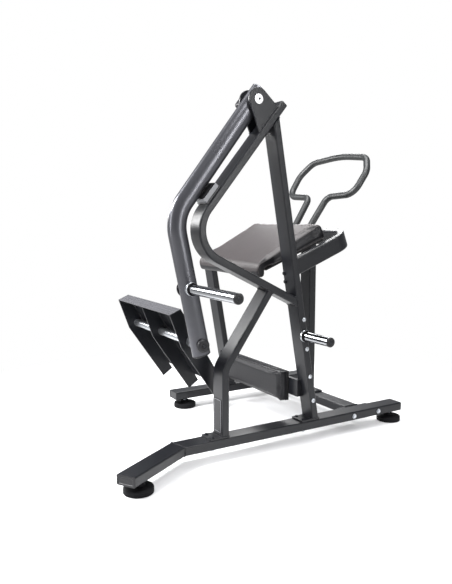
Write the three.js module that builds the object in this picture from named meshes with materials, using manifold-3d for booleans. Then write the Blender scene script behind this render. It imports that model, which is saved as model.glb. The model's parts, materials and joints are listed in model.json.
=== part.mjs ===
// Plate-loaded rear kick machine. Millimetres, +Z up, +X the way the user faces, +Y the far side.
// The machine's own centre plane is y = 0. The near side, at -Y, carries the swinging lever.
import * as THREE from "three";
import { mergeVertices } from "three/addons/utils/BufferGeometryUtils.js";
import Module from "manifold-3d";

const wasm = await Module();
wasm.setup();

// ---- driving dimensions ----
const GAP = 0.4; // clearance kept between pieces that touch
const WALL = 3;
const SIDE_Y = 442; // centre of each side frame from the centre plane
const ORIGIN_SHIFT = { x: -150, y: 196.5 }; // brings the middle of the overall box to the origin

const BEAM = { w: 100, h: 50, bottom: 62, front: 1077 };
const BEAM_TOP = BEAM.bottom + BEAM.h;
const NEAR_BEND_X = -403;
const OUTRIGGER = { length: 424, turn: 31.5 };
const FAR_REAR_X = 8;
const CROSS_X = 779;
const CAP_DEPTH = 6;
const FLANGE = { length: 230, height: 46, thick: 10 };

const FOOT = { radius: 70, disc: 32, neck: 26, stem: 11 };
const FOOT_INSET = { front: 51, farRear: 81, nearRear: 90 };

const POST = { w: 100, t: 40, lean: 10, x: 424 };
const PLATE_T = 10; // base plates under the posts, the leg and the column
const LEG = { x: -155, lean: 35.2, kneeZ: 464, radius: 110 };

const LOOP = { w: 100, t: 40, rise: 50.5, fall: 26.5, radius: 160 };
const LOOP_CORNER = { x: -374.6, z: 1109.8 };
const LOOP_UPPER = 884; // corner to the top end, along the upper arm
const LOOP_LOWER_GAP = 1;
const BUMPER_ALONG = 268; // from the loop's corner, along the upper arm

const PIVOT = { x: 33, z: 1803, shaft: 15, bore: 15.3, hub: 30 };
const PIVOT_PLATE = { radius: 56, thick: 10, inset: 2, foot: [677, 847] };

const HOUSING = { long: 92, wide: 66, deep: 56 }; // bearing housing on the pivot's far side

const LEVER = { a: 49, b: 30, wall: 4, over: 60, upper: 37.8, lower: 12, radius: 200 };
const LEVER_CORNER_Z = 1229;
const LEVER_END_Z = 552;
const SHAFT_Z = 600; // height of the foot plate's shaft
const HORN_Z = 883;
const HORN = { radius: 25, tip: 905, rod: 14, collar: 33 };
const STORE = { z: 592, tip: 706 };

const TREAD = { half: 345, thick: 4, top: [-332, 770], rear: [-394, 744], bottom: [-67, 331] };
const RIB = { thick: 6, kink: [-330, 572], rearFoot: [-109, 253], frontFoot: [-46, 296] };
const SHAFT_R = 21;

const SLOPE = 21.5; // rise of the seat rail and the upper pad, towards the front
const RAIL = { w: 90, t: 40, radius: 100, frontX: 682, refX: 407, refZ: 1003.5 };
const COLUMN = { w: 100, t: 50, x: 743, top: 1122 };
const HANDLE = { radius: 20, rise: 55.8, x: 717, z: 1207 };

const PAD = { half: 337, length: 508, thick: 60, frontX: 588, frontZ: 1166, roll: 30, arm: 340 };
const PAD_WEDGE = { front: 42, rear: 12 }; // how far the pad's top stands over and under the slope
const BOARD_T = 12;
const BRACKET = { bottom: 238, top: 332, reach: 424, lap: 40 }; // blocks that hold the shin pad
const SHIN = { rear: 283, thick: 48, half: 352, low: 194, high: 377 };

// ---- materials ----
const paint = (color, roughness, metalness) =>
  new THREE.MeshStandardMaterial({ color, roughness, metalness });
const FRAME = paint(0x2f3136, 0.5, 0.4);
const ARM = paint(0x55565a, 0.38, 0.65);
const CHROME = paint(0xd8dadc, 0.12, 1);
const ZINC = paint(0xb9bcc0, 0.35, 0.9);
const RUBBER = paint(0x1a1a1c, 0.85, 0);
const CAP_PLASTIC = paint(0x1e1f21, 0.55, 0);
const LEATHER = paint(0x4a4747, 0.6, 0);
const SHIN_LEATHER = paint(0x333337, 0.6, 0);
const GREY_BLOCK = paint(0xa9aaad, 0.6, 0);
const GRIP = paint(0x3a3c3d, 0.75, 0);
const BOARD = paint(0x151516, 0.8, 0);
const LABEL = paint(0x26272a, 0.35, 0.2);

// ---- small helpers ----
const rad = THREE.MathUtils.degToRad;
const machine = new THREE.Group();

function add(name, geometry, material, place = {}, parent = machine) {
  const mesh = new THREE.Mesh(geometry, material);
  mesh.name = name;
  mesh.position.set(place.x ?? 0, place.y ?? 0, place.z ?? 0);
  mesh.rotation.set(rad(place.rx ?? 0), rad(place.ry ?? 0), rad(place.rz ?? 0));
  parent.add(mesh);
  return mesh;
}

// Rounded rectangle, centred, w along x and h along y.
function roundedRect(w, h, r, Kind = THREE.Shape) {
  const s = new Kind();
  const x = w / 2 - r;
  const y = h / 2 - r;
  s.absarc(x, y, r, 0, Math.PI / 2);
  s.absarc(-x, y, r, Math.PI / 2, Math.PI);
  s.absarc(-x, -y, r, Math.PI, Math.PI * 1.5);
  s.absarc(x, -y, r, Math.PI * 1.5, Math.PI * 2);
  s.closePath();
  return s;
}

function tubeSection(w, h, corner = 8, wall = WALL) {
  const section = roundedRect(w, h, corner);
  const inside = roundedRect(w - 2 * wall, h - 2 * wall, corner - wall, THREE.Path);
  section.holes.push(inside);
  return section;
}

function extrude(shape, depth, segments = 3) {
  return new THREE.ExtrudeGeometry(shape, { depth, bevelEnabled: false, curveSegments: segments });
}

// Moves every vertex along z by a shift that depends on where it is, to slant or mitre the ends.
function shiftZ(geometry, shiftAt) {
  const p = geometry.getAttribute("position");
  for (let i = 0; i < p.count; i++) {
    p.setZ(i, p.getZ(i) + shiftAt(p.getX(i), p.getY(i), p.getZ(i)));
  }
  return geometry;
}

// A straight tube along z whose two ends are slanted across x by the given slopes.
function slantedTube(section, length, startSlope, endSlope) {
  const slope = (z) => (z < length / 2 ? startSlope : endSlope);
  return shiftZ(extrude(section, length), (x, y, z) => x * slope(z));
}

// Straight runs joined by round bends, with stations only where the route starts, ends or turns.
class BentRoute extends THREE.Curve {
  constructor(corners, radii, stepDeg = 12) {
    super();
    this.stations = [];
    const run = (i) => corners[i + 1].clone().sub(corners[i]).normalize();
    this.stations.push({ point: corners[0], tangent: run(0) });
    for (let i = 1; i < corners.length - 1; i++) {
      this.bend(corners[i], run(i - 1), run(i), radii[i - 1] ?? radii[0], rad(stepDeg));
    }
    const last = corners.length - 1;
    this.stations.push({ point: corners[last], tangent: run(last - 1) });
  }

  bend(corner, into, out, radius, step) {
    const turn = into.angleTo(out);
    const side = out.clone().addScaledVector(into, -into.dot(out)).normalize();
    const start = corner.clone().addScaledVector(into, -radius * Math.tan(turn / 2));
    const centre = start.addScaledVector(side, radius);
    const count = Math.max(2, Math.ceil(turn / step));
    for (let k = 0; k <= count; k++) {
      const a = (turn * k) / count;
      const point = centre.clone().addScaledVector(side, -radius * Math.cos(a));
      point.addScaledVector(into, radius * Math.sin(a));
      const tangent = into.clone().multiplyScalar(Math.cos(a)).addScaledVector(side, Math.sin(a));
      this.stations.push({ point, tangent });
    }
  }

  blend(t, key, target) {
    const s = t * (this.stations.length - 1);
    const i = Math.min(Math.floor(s), this.stations.length - 2);
    return target.lerpVectors(this.stations[i][key], this.stations[i + 1][key], s - i);
  }

  getPoint(t, target = new THREE.Vector3()) {
    return this.blend(t, "point", target);
  }

  getTangent(t, target = new THREE.Vector3()) {
    return this.blend(t, "tangent", target).normalize();
  }

  getPointAt(u, target) {
    return this.getPoint(u, target);
  }

  getTangentAt(u, target) {
    return this.getTangent(u, target);
  }
}

function sweep(section, route, segments = 3) {
  const steps = route.stations.length - 1;
  const options = { steps, extrudePath: route, bevelEnabled: false, curveSegments: segments };
  return new THREE.ExtrudeGeometry(section, options);
}

// A turned piece: profile points are [radius, height]; its axis then lies along +Y from the origin.
function turned(profile, segments = 28) {
  const points = profile.map(([r, h]) => new THREE.Vector2(r, h));
  return new THREE.LatheGeometry(points, segments);
}

// A solid rod along +Y from y0 to y1.
const rod = (radius, y0, y1, segments = 28) =>
  turned([[0, y0], [radius, y0], [radius, y1], [0, y1]], segments);

// A ring along +Y from y0 to y1.
const ring = (inner, outer, y0, y1, segments = 28) =>
  turned([[inner, y0], [outer, y0], [outer, y1], [inner, y1], [inner, y0]], segments);

// An outline in x and z, extruded along +Y from y0 to y1.
function slab(shape, y0, y1, segments = 3) {
  const geometry = extrude(shape, y1 - y0, segments);
  geometry.rotateX(Math.PI / 2);
  geometry.translate(0, y1, 0);
  return geometry;
}

function outline(points) {
  return new THREE.Shape(points.map(([x, z]) => new THREE.Vector2(x, z)));
}

function roundHole(shape, x, z, radius) {
  shape.holes.push(new THREE.Path().absarc(x, z, radius, 0, Math.PI * 2, true));
  return shape;
}

function box(x0, x1, y0, y1, z0, z1) {
  const geometry = new THREE.BoxGeometry(x1 - x0, y1 - y0, z1 - z0);
  return geometry.translate((x0 + x1) / 2, (y0 + y1) / 2, (z0 + z1) / 2);
}

function toSolid(geometry) {
  const bare = geometry.clone();
  bare.deleteAttribute("normal");
  bare.deleteAttribute("uv");
  const merged = mergeVertices(bare, 1e-4);
  const vertProperties = merged.getAttribute("position").array;
  const triVerts = new Uint32Array(merged.getIndex().array);
  return new wasm.Manifold(new wasm.Mesh({ numProp: 3, vertProperties, triVerts }));
}

function subtract(geometry, ...cutters) {
  const solid = cutters.reduce((left, cutter) => left.subtract(toSolid(cutter)), toSolid(geometry));
  const mesh = solid.getMesh();
  const result = new THREE.BufferGeometry();
  result.setAttribute("position", new THREE.BufferAttribute(mesh.vertProperties, 3));
  result.setIndex(new THREE.BufferAttribute(mesh.triVerts, 1));
  return result;
}

// ---- base ----
function beamEndCap() {
  const flange = extrude(roundedRect(BEAM.h, BEAM.w, 8), CAP_DEPTH);
  return flange.rotateY(Math.PI / 2);
}

// A base tube lying along +X from x0 to x1, wide side flat, with its rear end mitred in plan.
function baseTube(length, rearSlope, frontSlope) {
  const section = tubeSection(BEAM.h, BEAM.w);
  const slope = (z) => (z < length / 2 ? rearSlope : frontSlope);
  const geometry = shiftZ(extrude(section, length), (x, y, z) => y * slope(z));
  return geometry.rotateY(Math.PI / 2);
}

function base() {
  const midZ = BEAM.bottom + BEAM.h / 2;
  const mitre = Math.tan(rad(OUTRIGGER.turn / 2));
  const nearLength = BEAM.front - NEAR_BEND_X - GAP;
  const nearPlace = { x: NEAR_BEND_X + GAP, y: -SIDE_Y, z: midZ };
  add("near_base_beam", baseTube(nearLength, -mitre, 0), FRAME, nearPlace);
  const arm = new THREE.Group();
  arm.position.set(NEAR_BEND_X, -SIDE_Y, midZ);
  arm.rotation.z = rad(OUTRIGGER.turn);
  machine.add(arm);
  const outrigger = baseTube(OUTRIGGER.length, 0, mitre).translate(-OUTRIGGER.length, 0, 0);
  add("near_base_outrigger", outrigger, FRAME, {}, arm);
  const rearCap = { x: -OUTRIGGER.length - CAP_DEPTH - GAP };
  add("near_rear_end_cap", beamEndCap(), CAP_PLASTIC, rearCap, arm);
  const farPlace = { x: FAR_REAR_X, y: SIDE_Y, z: midZ };
  add("far_base_beam", baseTube(BEAM.front - FAR_REAR_X, 0, 0), FRAME, farPlace);
  const frontX = BEAM.front + GAP;
  add("near_front_end_cap", beamEndCap(), CAP_PLASTIC, { x: frontX, y: -SIDE_Y, z: midZ });
  add("far_front_end_cap", beamEndCap(), CAP_PLASTIC, { x: frontX, y: SIDE_Y, z: midZ });
  const farRear = { x: FAR_REAR_X - CAP_DEPTH - GAP, y: SIDE_Y, z: midZ };
  add("far_rear_end_cap", beamEndCap(), CAP_PLASTIC, farRear);

  const inner = SIDE_Y - BEAM.w / 2;
  const reach = inner - FLANGE.thick - 2 * GAP;
  const cross = extrude(tubeSection(BEAM.w, BEAM.h), 2 * reach).rotateX(Math.PI / 2);
  add("cross_beam", cross, FRAME, { x: CROSS_X, y: reach, z: midZ });
  for (const [side, sign] of [["near", -1], ["far", 1]]) {
    const y = sign * (inner - GAP - FLANGE.thick / 2);
    const plate = new THREE.BoxGeometry(FLANGE.length, FLANGE.thick, FLANGE.height);
    add(`cross_beam_flange_${side}`, plate, FRAME, { x: CROSS_X, y, z: midZ });
  }
}

function feet() {
  const angle = rad(OUTRIGGER.turn);
  const along = OUTRIGGER.length - FOOT_INSET.nearRear;
  const nearRear = {
    x: NEAR_BEND_X - along * Math.cos(angle),
    y: -SIDE_Y - along * Math.sin(angle),
  };
  const places = {
    near_rear: nearRear,
    near_front: { x: BEAM.front - FOOT_INSET.front, y: -SIDE_Y },
    far_front: { x: BEAM.front - FOOT_INSET.front, y: SIDE_Y },
    far_rear: { x: FAR_REAR_X + FOOT_INSET.farRear, y: SIDE_Y },
  };
  const { radius, disc, neck, stem } = FOOT;
  const profile = [
    [0, 0], [radius - 3, 0], [radius, 4], [radius, disc - 8], [radius - 6, disc],
    [neck + 8, disc + 2], [neck, disc + 8], [neck, disc + 12], [stem, disc + 12],
    [stem, BEAM.bottom - GAP], [0, BEAM.bottom - GAP],
  ];
  for (const [name, at] of Object.entries(places)) {
    add(`${name}_foot`, turned(profile, 32), RUBBER, { ...at, rx: 90 });
  }
}

// ---- posts, leg and loop ----
const postAxisX = (z) => POST.x - Math.tan(rad(POST.lean)) * (z - BEAM_TOP);
const loopUp = { x: Math.cos(rad(LOOP.rise)), z: Math.sin(rad(LOOP.rise)) };
const loopDown = { x: Math.cos(rad(LOOP.fall)), z: -Math.sin(rad(LOOP.fall)) };
const railAxisZ = (x) => RAIL.refZ + (x - RAIL.refX) * Math.tan(rad(SLOPE));

function basePlate(name, x0, x1, y) {
  const plate = extrude(roundedRect(x1 - x0, BEAM.w - 6, 6), PLATE_T - GAP);
  add(name, plate, FRAME, { x: (x0 + x1) / 2, y, z: BEAM_TOP + GAP });
}

// A leaning post from its base plate up to the height where its axis meets topZ, cut to topSlope.
function post(name, y, topZ, topSlope) {
  const start = BEAM_TOP + PLATE_T + GAP;
  const length = (topZ - start) / Math.cos(rad(POST.lean));
  const level = -Math.tan(rad(POST.lean));
  const tube = slantedTube(tubeSection(POST.t, POST.w), length, level, topSlope);
  add(name, tube, FRAME, { x: postAxisX(start), y, z: start, ry: -POST.lean });
}

// Height at which the loop's upper arm has its underside above a given x.
function loopUndersideZ(x) {
  const axisZ = LOOP_CORNER.z + ((x - LOOP_CORNER.x) * loopUp.z) / loopUp.x;
  return axisZ - LOOP.t / 2 / loopUp.x;
}

function posts() {
  const tilt = Math.tan(rad(LOOP.rise));
  const lean = Math.tan(rad(POST.lean));
  // Where the post's axis runs into the loop's underside.
  const zAtFoot = loopUndersideZ(POST.x);
  const topZ = (zAtFoot + tilt * lean * BEAM_TOP) / (1 + tilt * lean) - 2 * GAP;
  post("near_post", -SIDE_Y, topZ, Math.tan(rad(LOOP.rise - POST.lean)));
  const farTop = railAxisZ(postAxisX(1010)) + 60;
  post("far_post", SIDE_Y, farTop, -Math.tan(rad(POST.lean)));
  const cap = extrude(roundedRect(POST.t, POST.w, 8), CAP_DEPTH);
  const capPlace = { x: postAxisX(farTop + 4), y: SIDE_Y, z: farTop + GAP };
  add("far_post_cap", cap, CAP_PLASTIC, capPlace);
  for (const [side, y] of [["near", -SIDE_Y], ["far", SIDE_Y]]) {
    basePlate(`${side}_post_base_plate`, POST.x - 96, POST.x + 30, y);
  }
}

function rearLeg() {
  const start = BEAM_TOP + PLATE_T + GAP;
  const up = { x: Math.sin(rad(LEG.lean)), z: Math.cos(rad(LEG.lean)) };
  // The lower arm's underside is a line through the loop corner, half a tube lower.
  const under = (x) =>
    LOOP_CORNER.z + ((x - LOOP_CORNER.x) * loopDown.z) / loopDown.x - LOOP.t / 2 / loopDown.x;
  const slope = loopDown.z / loopDown.x;
  const reach = (under(LEG.x) - LEG.kneeZ - 2 * GAP) / (up.z - slope * up.x);
  const points = [
    new THREE.Vector3(LEG.x, -SIDE_Y, start),
    new THREE.Vector3(LEG.x, -SIDE_Y, LEG.kneeZ),
    new THREE.Vector3(LEG.x + up.x * reach, -SIDE_Y, LEG.kneeZ + up.z * reach),
  ];
  const tube = sweep(tubeSection(POST.w, POST.t), new BentRoute(points, [LEG.radius]));
  // The top end is cut to lie against the lower arm.
  const end = points[2];
  shiftZ(tube, (x, y, z) => {
    const across = (x - end.x) * up.z - (z - end.z) * up.x;
    const isTop = Math.abs((x - end.x) * up.x + (z - end.z) * up.z) < 1;
    return isTop ? across * (slope * up.z + up.x) * 1.0 : 0;
  });
  add("near_rear_leg", tube, FRAME);
  basePlate("near_rear_leg_base_plate", LEG.x - 92, LEG.x + 26, -SIDE_Y);
  const panelX = LEG.x - POST.t / 2 - GAP;
  const panel = box(panelX - 2.5, panelX, -SIDE_Y - 37, -SIDE_Y + 37, 136, 312);
  add("rear_leg_panel", panel, LABEL);
}

function loopFrame() {
  const top = {
    x: LOOP_CORNER.x + loopUp.x * LOOP_UPPER,
    z: LOOP_CORNER.z + loopUp.z * LOOP_UPPER,
  };
  // The lower arm stops at the rear face of the near post.
  const lean = Math.tan(rad(POST.lean));
  const rearFace = (z) => postAxisX(z) - POST.t / 2 / Math.cos(rad(POST.lean));
  const slope = loopDown.z / loopDown.x;
  const endX =
    (rearFace(LOOP_CORNER.z) + lean * slope * LOOP_CORNER.x - LOOP_LOWER_GAP) / (1 + lean * slope);
  const endZ = LOOP_CORNER.z + (endX - LOOP_CORNER.x) * slope;
  const points = [
    new THREE.Vector3(top.x, -SIDE_Y, top.z),
    new THREE.Vector3(LOOP_CORNER.x, -SIDE_Y, LOOP_CORNER.z),
    new THREE.Vector3(endX, -SIDE_Y, endZ),
  ];
  const tube = sweep(tubeSection(LOOP.w, LOOP.t), new BentRoute(points, [LOOP.radius], 9));
  // Slide the lower end's vertices along the arm until they lie on the post's rear face.
  const p = tube.getAttribute("position");
  for (let i = 0; i < p.count; i++) {
    const dx = p.getX(i) - endX;
    const dz = p.getZ(i) - endZ;
    if (Math.abs(dx * loopDown.x + dz * loopDown.z) < 1 && Math.abs(dx) < LOOP.t) {
      const miss = -lean * dz - dx;
      const travel = miss / (loopDown.x + lean * loopDown.z);
      p.setX(i, p.getX(i) + travel * loopDown.x);
      p.setZ(i, p.getZ(i) + travel * loopDown.z);
    }
  }
  add("loop_frame", tube, FRAME);
  const cap = extrude(roundedRect(LOOP.t, LOOP.w, 8), CAP_DEPTH);
  const capPlace = {
    x: top.x + loopUp.x * GAP,
    y: -SIDE_Y,
    z: top.z + loopUp.z * GAP,
    ry: 90 - LOOP.rise,
  };
  add("loop_top_cap", cap, CAP_PLASTIC, capPlace);
}

// ---- pivot ----
// A point on the loop's upper face, measured along the upper arm from the loop corner.
function onUpperFace(along, lift) {
  const out = LOOP.t / 2 + lift;
  return [
    LOOP_CORNER.x + loopUp.x * along - loopUp.z * out,
    LOOP_CORNER.z + loopUp.z * along + loopUp.x * out,
  ];
}

function pivotPlateShape() {
  const [footLow, footHigh] = PIVOT_PLATE.foot.map((along) => onUpperFace(along, GAP));
  const shape = new THREE.Shape();
  shape.moveTo(...footLow);
  shape.lineTo(...footHigh);
  shape.absarc(PIVOT.x, PIVOT.z, PIVOT_PLATE.radius, rad(52), rad(196), false);
  shape.closePath();
  return roundHole(shape, PIVOT.x, PIVOT.z, PIVOT.bore);
}

function pivot() {
  const outer = SIDE_Y + LOOP.w / 2 - PIVOT_PLATE.inset;
  const inner = SIDE_Y - LOOP.w / 2 + PIVOT_PLATE.inset;
  const nearFace = -outer;
  const farFace = -inner;
  const { thick } = PIVOT_PLATE;
  const shape = pivotPlateShape();
  add("near_pivot_plate", slab(shape, nearFace, nearFace + thick, 12), FRAME);
  add("far_pivot_plate", slab(shape, farFace - thick, farFace, 12), FRAME);
  const at = { x: PIVOT.x, z: PIVOT.z };
  add("pivot_shaft", rod(PIVOT.shaft, nearFace, farFace), ZINC, at);
  const cap = [[0, -7], [7, -7], [9, -5], [20, -5], [24, -2], [24, -GAP], [0, -GAP]];
  const capProfile = cap.map(([r, h]) => [r, nearFace + h]);
  add("pivot_cap", turned(capProfile), ZINC, at);
  const { long, wide, deep } = HOUSING;
  const housing = extrude(roundedRect(wide, long, 14), deep).rotateX(Math.PI / 2);
  housing.translate(0, farFace + GAP + deep, 0);
  add("pivot_end_housing", housing, CAP_PLASTIC, { ...at, ry: LEVER.upper });
}

// Stop block on the loop's upper face. The lever rests against its rubber.
function bumper() {
  const layers = [
    ["bumper_bracket", 9, 96, 112, FRAME],
    ["bumper_block", 22, 92, 104, GREY_BLOCK],
    ["bumper_rubber", 6.5, 88, 96, RUBBER],
  ];
  const stop = new THREE.Group();
  const [x, z] = onUpperFace(BUMPER_ALONG, 0);
  stop.position.set(x, -SIDE_Y, z);
  stop.rotation.y = rad(90 - LOOP.rise);
  machine.add(stop);
  let height = GAP;
  for (const [name, thick, width, length, material] of layers) {
    const slice = box(-height - thick, -height, -width / 2, width / 2, -length / 2, length / 2);
    add(name, slice, material, {}, stop);
    height += thick + GAP;
  }
}

// ---- lever and what it carries ----
const leverUp = { x: Math.sin(rad(LEVER.upper)), z: Math.cos(rad(LEVER.upper)) };
const leverDown = { x: Math.sin(rad(LEVER.lower)), z: -Math.cos(rad(LEVER.lower)) };
const leverCorner = {
  x: PIVOT.x - ((PIVOT.z - LEVER_CORNER_Z) * leverUp.x) / leverUp.z,
  z: LEVER_CORNER_Z,
};
// x of the lever's lower straight run at a height.
const leverX = (z) => leverCorner.x + ((z - leverCorner.z) * leverDown.x) / leverDown.z;

function leverRoute() {
  const top = {
    x: PIVOT.x + leverUp.x * LEVER.over,
    z: PIVOT.z + leverUp.z * LEVER.over,
  };
  const points = [
    new THREE.Vector3(top.x, -SIDE_Y, top.z),
    new THREE.Vector3(leverCorner.x, -SIDE_Y, leverCorner.z),
    new THREE.Vector3(leverX(LEVER_END_Z), -SIDE_Y, LEVER_END_Z),
  ];
  return new BentRoute(points, [LEVER.radius], 8);
}

function oval(b, a, Kind = THREE.Shape) {
  return new Kind().absellipse(0, 0, b, a, 0, Math.PI * 2);
}

function leverSolid(grow) {
  return sweep(oval(LEVER.b + grow, LEVER.a + grow), leverRoute(), 14);
}

// The swinging arm is an oval tube, bored for its hub, the horn's rod and the foot plate's shaft.
function lever() {
  const section = oval(LEVER.b, LEVER.a);
  section.holes.push(oval(LEVER.b - LEVER.wall, LEVER.a - LEVER.wall, THREE.Path));
  const tube = sweep(section, leverRoute(), 14);
  const bore = (radius, x, z) =>
    rod(radius, -SIDE_Y - 60, -SIDE_Y + 60, 32).translate(x, 0, z);
  const bored = subtract(
    tube,
    bore(PIVOT.hub + GAP, PIVOT.x, PIVOT.z),
    bore(HORN.rod + GAP, leverX(HORN_Z), HORN_Z),
    bore(SHAFT_R + GAP, leverX(SHAFT_Z), SHAFT_Z),
  );
  add("lever_tube", bored, ARM);

  const top = leverRoute().stations[0].point;
  const dome = [[0, GAP], [1, GAP], [1, 3], [0.9, 8], [0.6, 12], [0, 14]];
  const topCap = turned(dome.map(([r, h]) => [r * LEVER.a, h]), 32).rotateX(Math.PI / 2);
  topCap.scale(1, LEVER.b / LEVER.a, 1);
  const topPlace = { x: top.x, y: -SIDE_Y, z: top.z, ry: LEVER.upper };
  add("lever_top_cap", topCap, ARM, topPlace);
  const plug = turned([[0, GAP], [1, GAP], [1, 4], [0.86, 9], [0, 9]].map(([r, h]) => [r * LEVER.a, h]));
  plug.rotateX(Math.PI / 2).scale(1, LEVER.b / LEVER.a, 1);
  const plugPlace = {
    x: leverX(LEVER_END_Z),
    y: -SIDE_Y,
    z: LEVER_END_Z,
    ry: 180 - LEVER.lower,
  };
  add("lever_end_plug", plug, CAP_PLASTIC, plugPlace);
  const hubHalf = LOOP.w / 2 - PIVOT_PLATE.inset - PIVOT_PLATE.thick - GAP;
  const hub = ring(PIVOT.bore, PIVOT.hub, -hubHalf, hubHalf, 32);
  add("lever_hub", hub, ZINC, { x: PIVOT.x, y: -SIDE_Y, z: PIVOT.z });
}

// The sleeve that weight plates slide on, with its collar against the lever.
function weightHorn() {
  const at = { x: leverX(HORN_Z), z: HORN_Z };
  const face = -SIDE_Y - LEVER.b;
  const profile = [
    [0, face + 2 * LEVER.b + 14], [HORN.rod, face + 2 * LEVER.b + 14], [HORN.rod, face + 12],
    [HORN.collar, face + 12], [HORN.collar, face - 10], [HORN.collar - 4, face - 13],
    [HORN.radius + 3, face - 13], [HORN.radius + 3, face - 22], [HORN.radius, face - 24],
    [HORN.radius, -HORN.tip + 8], [0, -HORN.tip + 8],
  ];
  const blank = turned(profile.reverse(), 32).translate(at.x, 0, at.z);
  const shell = leverSolid(GAP);
  // Only the collar is shaped to the oval: the rod passes through the bore.
  const keep = rod(HORN.rod, face, face + 2 * LEVER.b + 14, 32).translate(at.x, 0, at.z);
  const saddle = toSolid(blank).subtract(toSolid(shell)).add(toSolid(keep));
  const whole = saddle.decompose().sort((p, q) => q.volume() - p.volume())[0].getMesh();
  const geometry = new THREE.BufferGeometry();
  geometry.setAttribute("position", new THREE.BufferAttribute(whole.vertProperties, 3));
  geometry.setIndex(new THREE.BufferAttribute(whole.triVerts, 1));
  add("weight_horn", geometry, CHROME);
  add("weight_horn_end_cap", hornCap(-HORN.tip), CAP_PLASTIC, at);
  const far = -SIDE_Y + LEVER.b + GAP;
  add("weight_horn_washer", ring(HORN.rod + GAP, 46, far, far + 9, 32), CAP_PLASTIC, at);
}

// A round plastic cap with a sunk centre, its outer face at tipY, facing -Y.
function hornCap(tipY) {
  const r = HORN.radius;
  const profile = [
    [0, 4], [7, 4], [8, 3], [9, 0], [r - 2, 0], [r + 0.5, 2], [r + 0.5, 8 - GAP], [0, 8 - GAP],
  ];
  return turned(profile.map(([radius, h]) => [radius, h + tipY]), 32);
}

function storageHorn() {
  const at = { x: postAxisX(STORE.z), z: STORE.z };
  const face = -SIDE_Y - POST.w / 2 - GAP;
  const profile = [
    [0, face], [HORN.collar, face], [HORN.collar, face - 8], [HORN.radius + 3, face - 11],
    [HORN.radius + 3, face - 20], [HORN.radius, face - 22], [HORN.radius, -STORE.tip + 8],
    [0, -STORE.tip + 8],
  ];
  add("storage_horn", turned(profile.reverse(), 32), CHROME, at);
  add("storage_horn_end_cap", hornCap(-STORE.tip), CAP_PLASTIC, at);
}

function footPlate() {
  const { half, thick, top, rear, bottom } = TREAD;
  const flangeDir = new THREE.Vector2(top[0] - rear[0], top[1] - rear[1]).normalize();
  const treadDir = new THREE.Vector2(bottom[0] - top[0], bottom[1] - top[1]).normalize();
  // Inner corner of the bent plate: one thickness inside both outer faces.
  const setback = thick * Math.tan(flangeDir.angleTo(treadDir) / 2);
  const flangeIn = new THREE.Vector2(flangeDir.y, -flangeDir.x);
  const treadIn = new THREE.Vector2(treadDir.y, -treadDir.x);
  const innerAt = (depth) => [
    top[0] - flangeDir.x * setback * (depth / thick) + flangeIn.x * depth,
    top[1] - flangeDir.y * setback * (depth / thick) + flangeIn.y * depth,
  ];
  const offset = (point, dir, depth) => [point[0] + dir.x * depth, point[1] + dir.y * depth];
  const plate = outline([
    rear, top, bottom, offset(bottom, treadIn, thick), innerAt(thick), offset(rear, flangeIn, thick),
  ]);
  add("foot_plate_tread", slab(plate, -half, half), FRAME);

  const depth = thick + GAP;
  const ribShape = () => {
    const shape = outline([
      RIB.kink, RIB.rearFoot, offset(RIB.frontFoot, treadIn, depth),
      offset(bottom, treadIn, depth), innerAt(depth), offset(rear, flangeIn, depth),
    ]);
    return roundHole(shape, leverX(SHAFT_Z), SHAFT_Z, SHAFT_R + GAP);
  };
  const places = [["near", -half], ["middle", -RIB.thick / 2], ["far", half - RIB.thick]];
  for (const [name, y] of places) {
    add(`foot_plate_rib_${name}`, slab(ribShape(), y, y + RIB.thick, 10), FRAME);
  }
  const at = { x: leverX(SHAFT_Z), z: SHAFT_Z };
  const shaftEnd = -SIDE_Y - LEVER.b - 4;
  add("foot_plate_shaft", rod(SHAFT_R, shaftEnd, half - GAP, 28), CHROME, at);
  const capFace = shaftEnd - GAP;
  const cap = [[0, 0], [30, 0], [30, -10], [24, -14], [9, -14], [8, -10], [0, -10]];
  const hexCap = turned(cap.map(([r, h]) => [r, h + capFace]).reverse(), 24);
  add("foot_plate_shaft_cap", hexCap, CAP_PLASTIC, at);
}

// ---- rail, column and handle ----
const slopeCos = Math.cos(rad(SLOPE));
const slopeSin = Math.sin(rad(SLOPE));

function rail() {
  const postFront = POST.t / 2 / Math.cos(rad(POST.lean));
  const lean = Math.tan(rad(POST.lean));
  // Where the rail's axis meets the front face of the posts.
  const atFoot = POST.x + postFront + lean * BEAM_TOP;
  const k = Math.tan(rad(SLOPE));
  const startX = (atFoot - lean * (RAIL.refZ - RAIL.refX * k)) / (1 + lean * k) + 2 * GAP;
  const start = { x: startX, z: railAxisZ(startX) };
  const length = (RAIL.frontX - startX) / slopeCos;
  const points = [
    new THREE.Vector3(0, -SIDE_Y, 0),
    new THREE.Vector3(length, -SIDE_Y, 0),
    new THREE.Vector3(length, SIDE_Y, 0),
    new THREE.Vector3(0, SIDE_Y, 0),
  ];
  const tube = sweep(tubeSection(RAIL.w, RAIL.t), new BentRoute(points, [RAIL.radius], 11));
  const slant = Math.tan(rad(SLOPE - POST.lean));
  const p = tube.getAttribute("position");
  for (let i = 0; i < p.count; i++) {
    if (p.getX(i) < 1) p.setX(i, p.getX(i) + slant * p.getZ(i));
  }
  add("seat_rail", tube, FRAME, { ...start, ry: -SLOPE });
}

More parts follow.
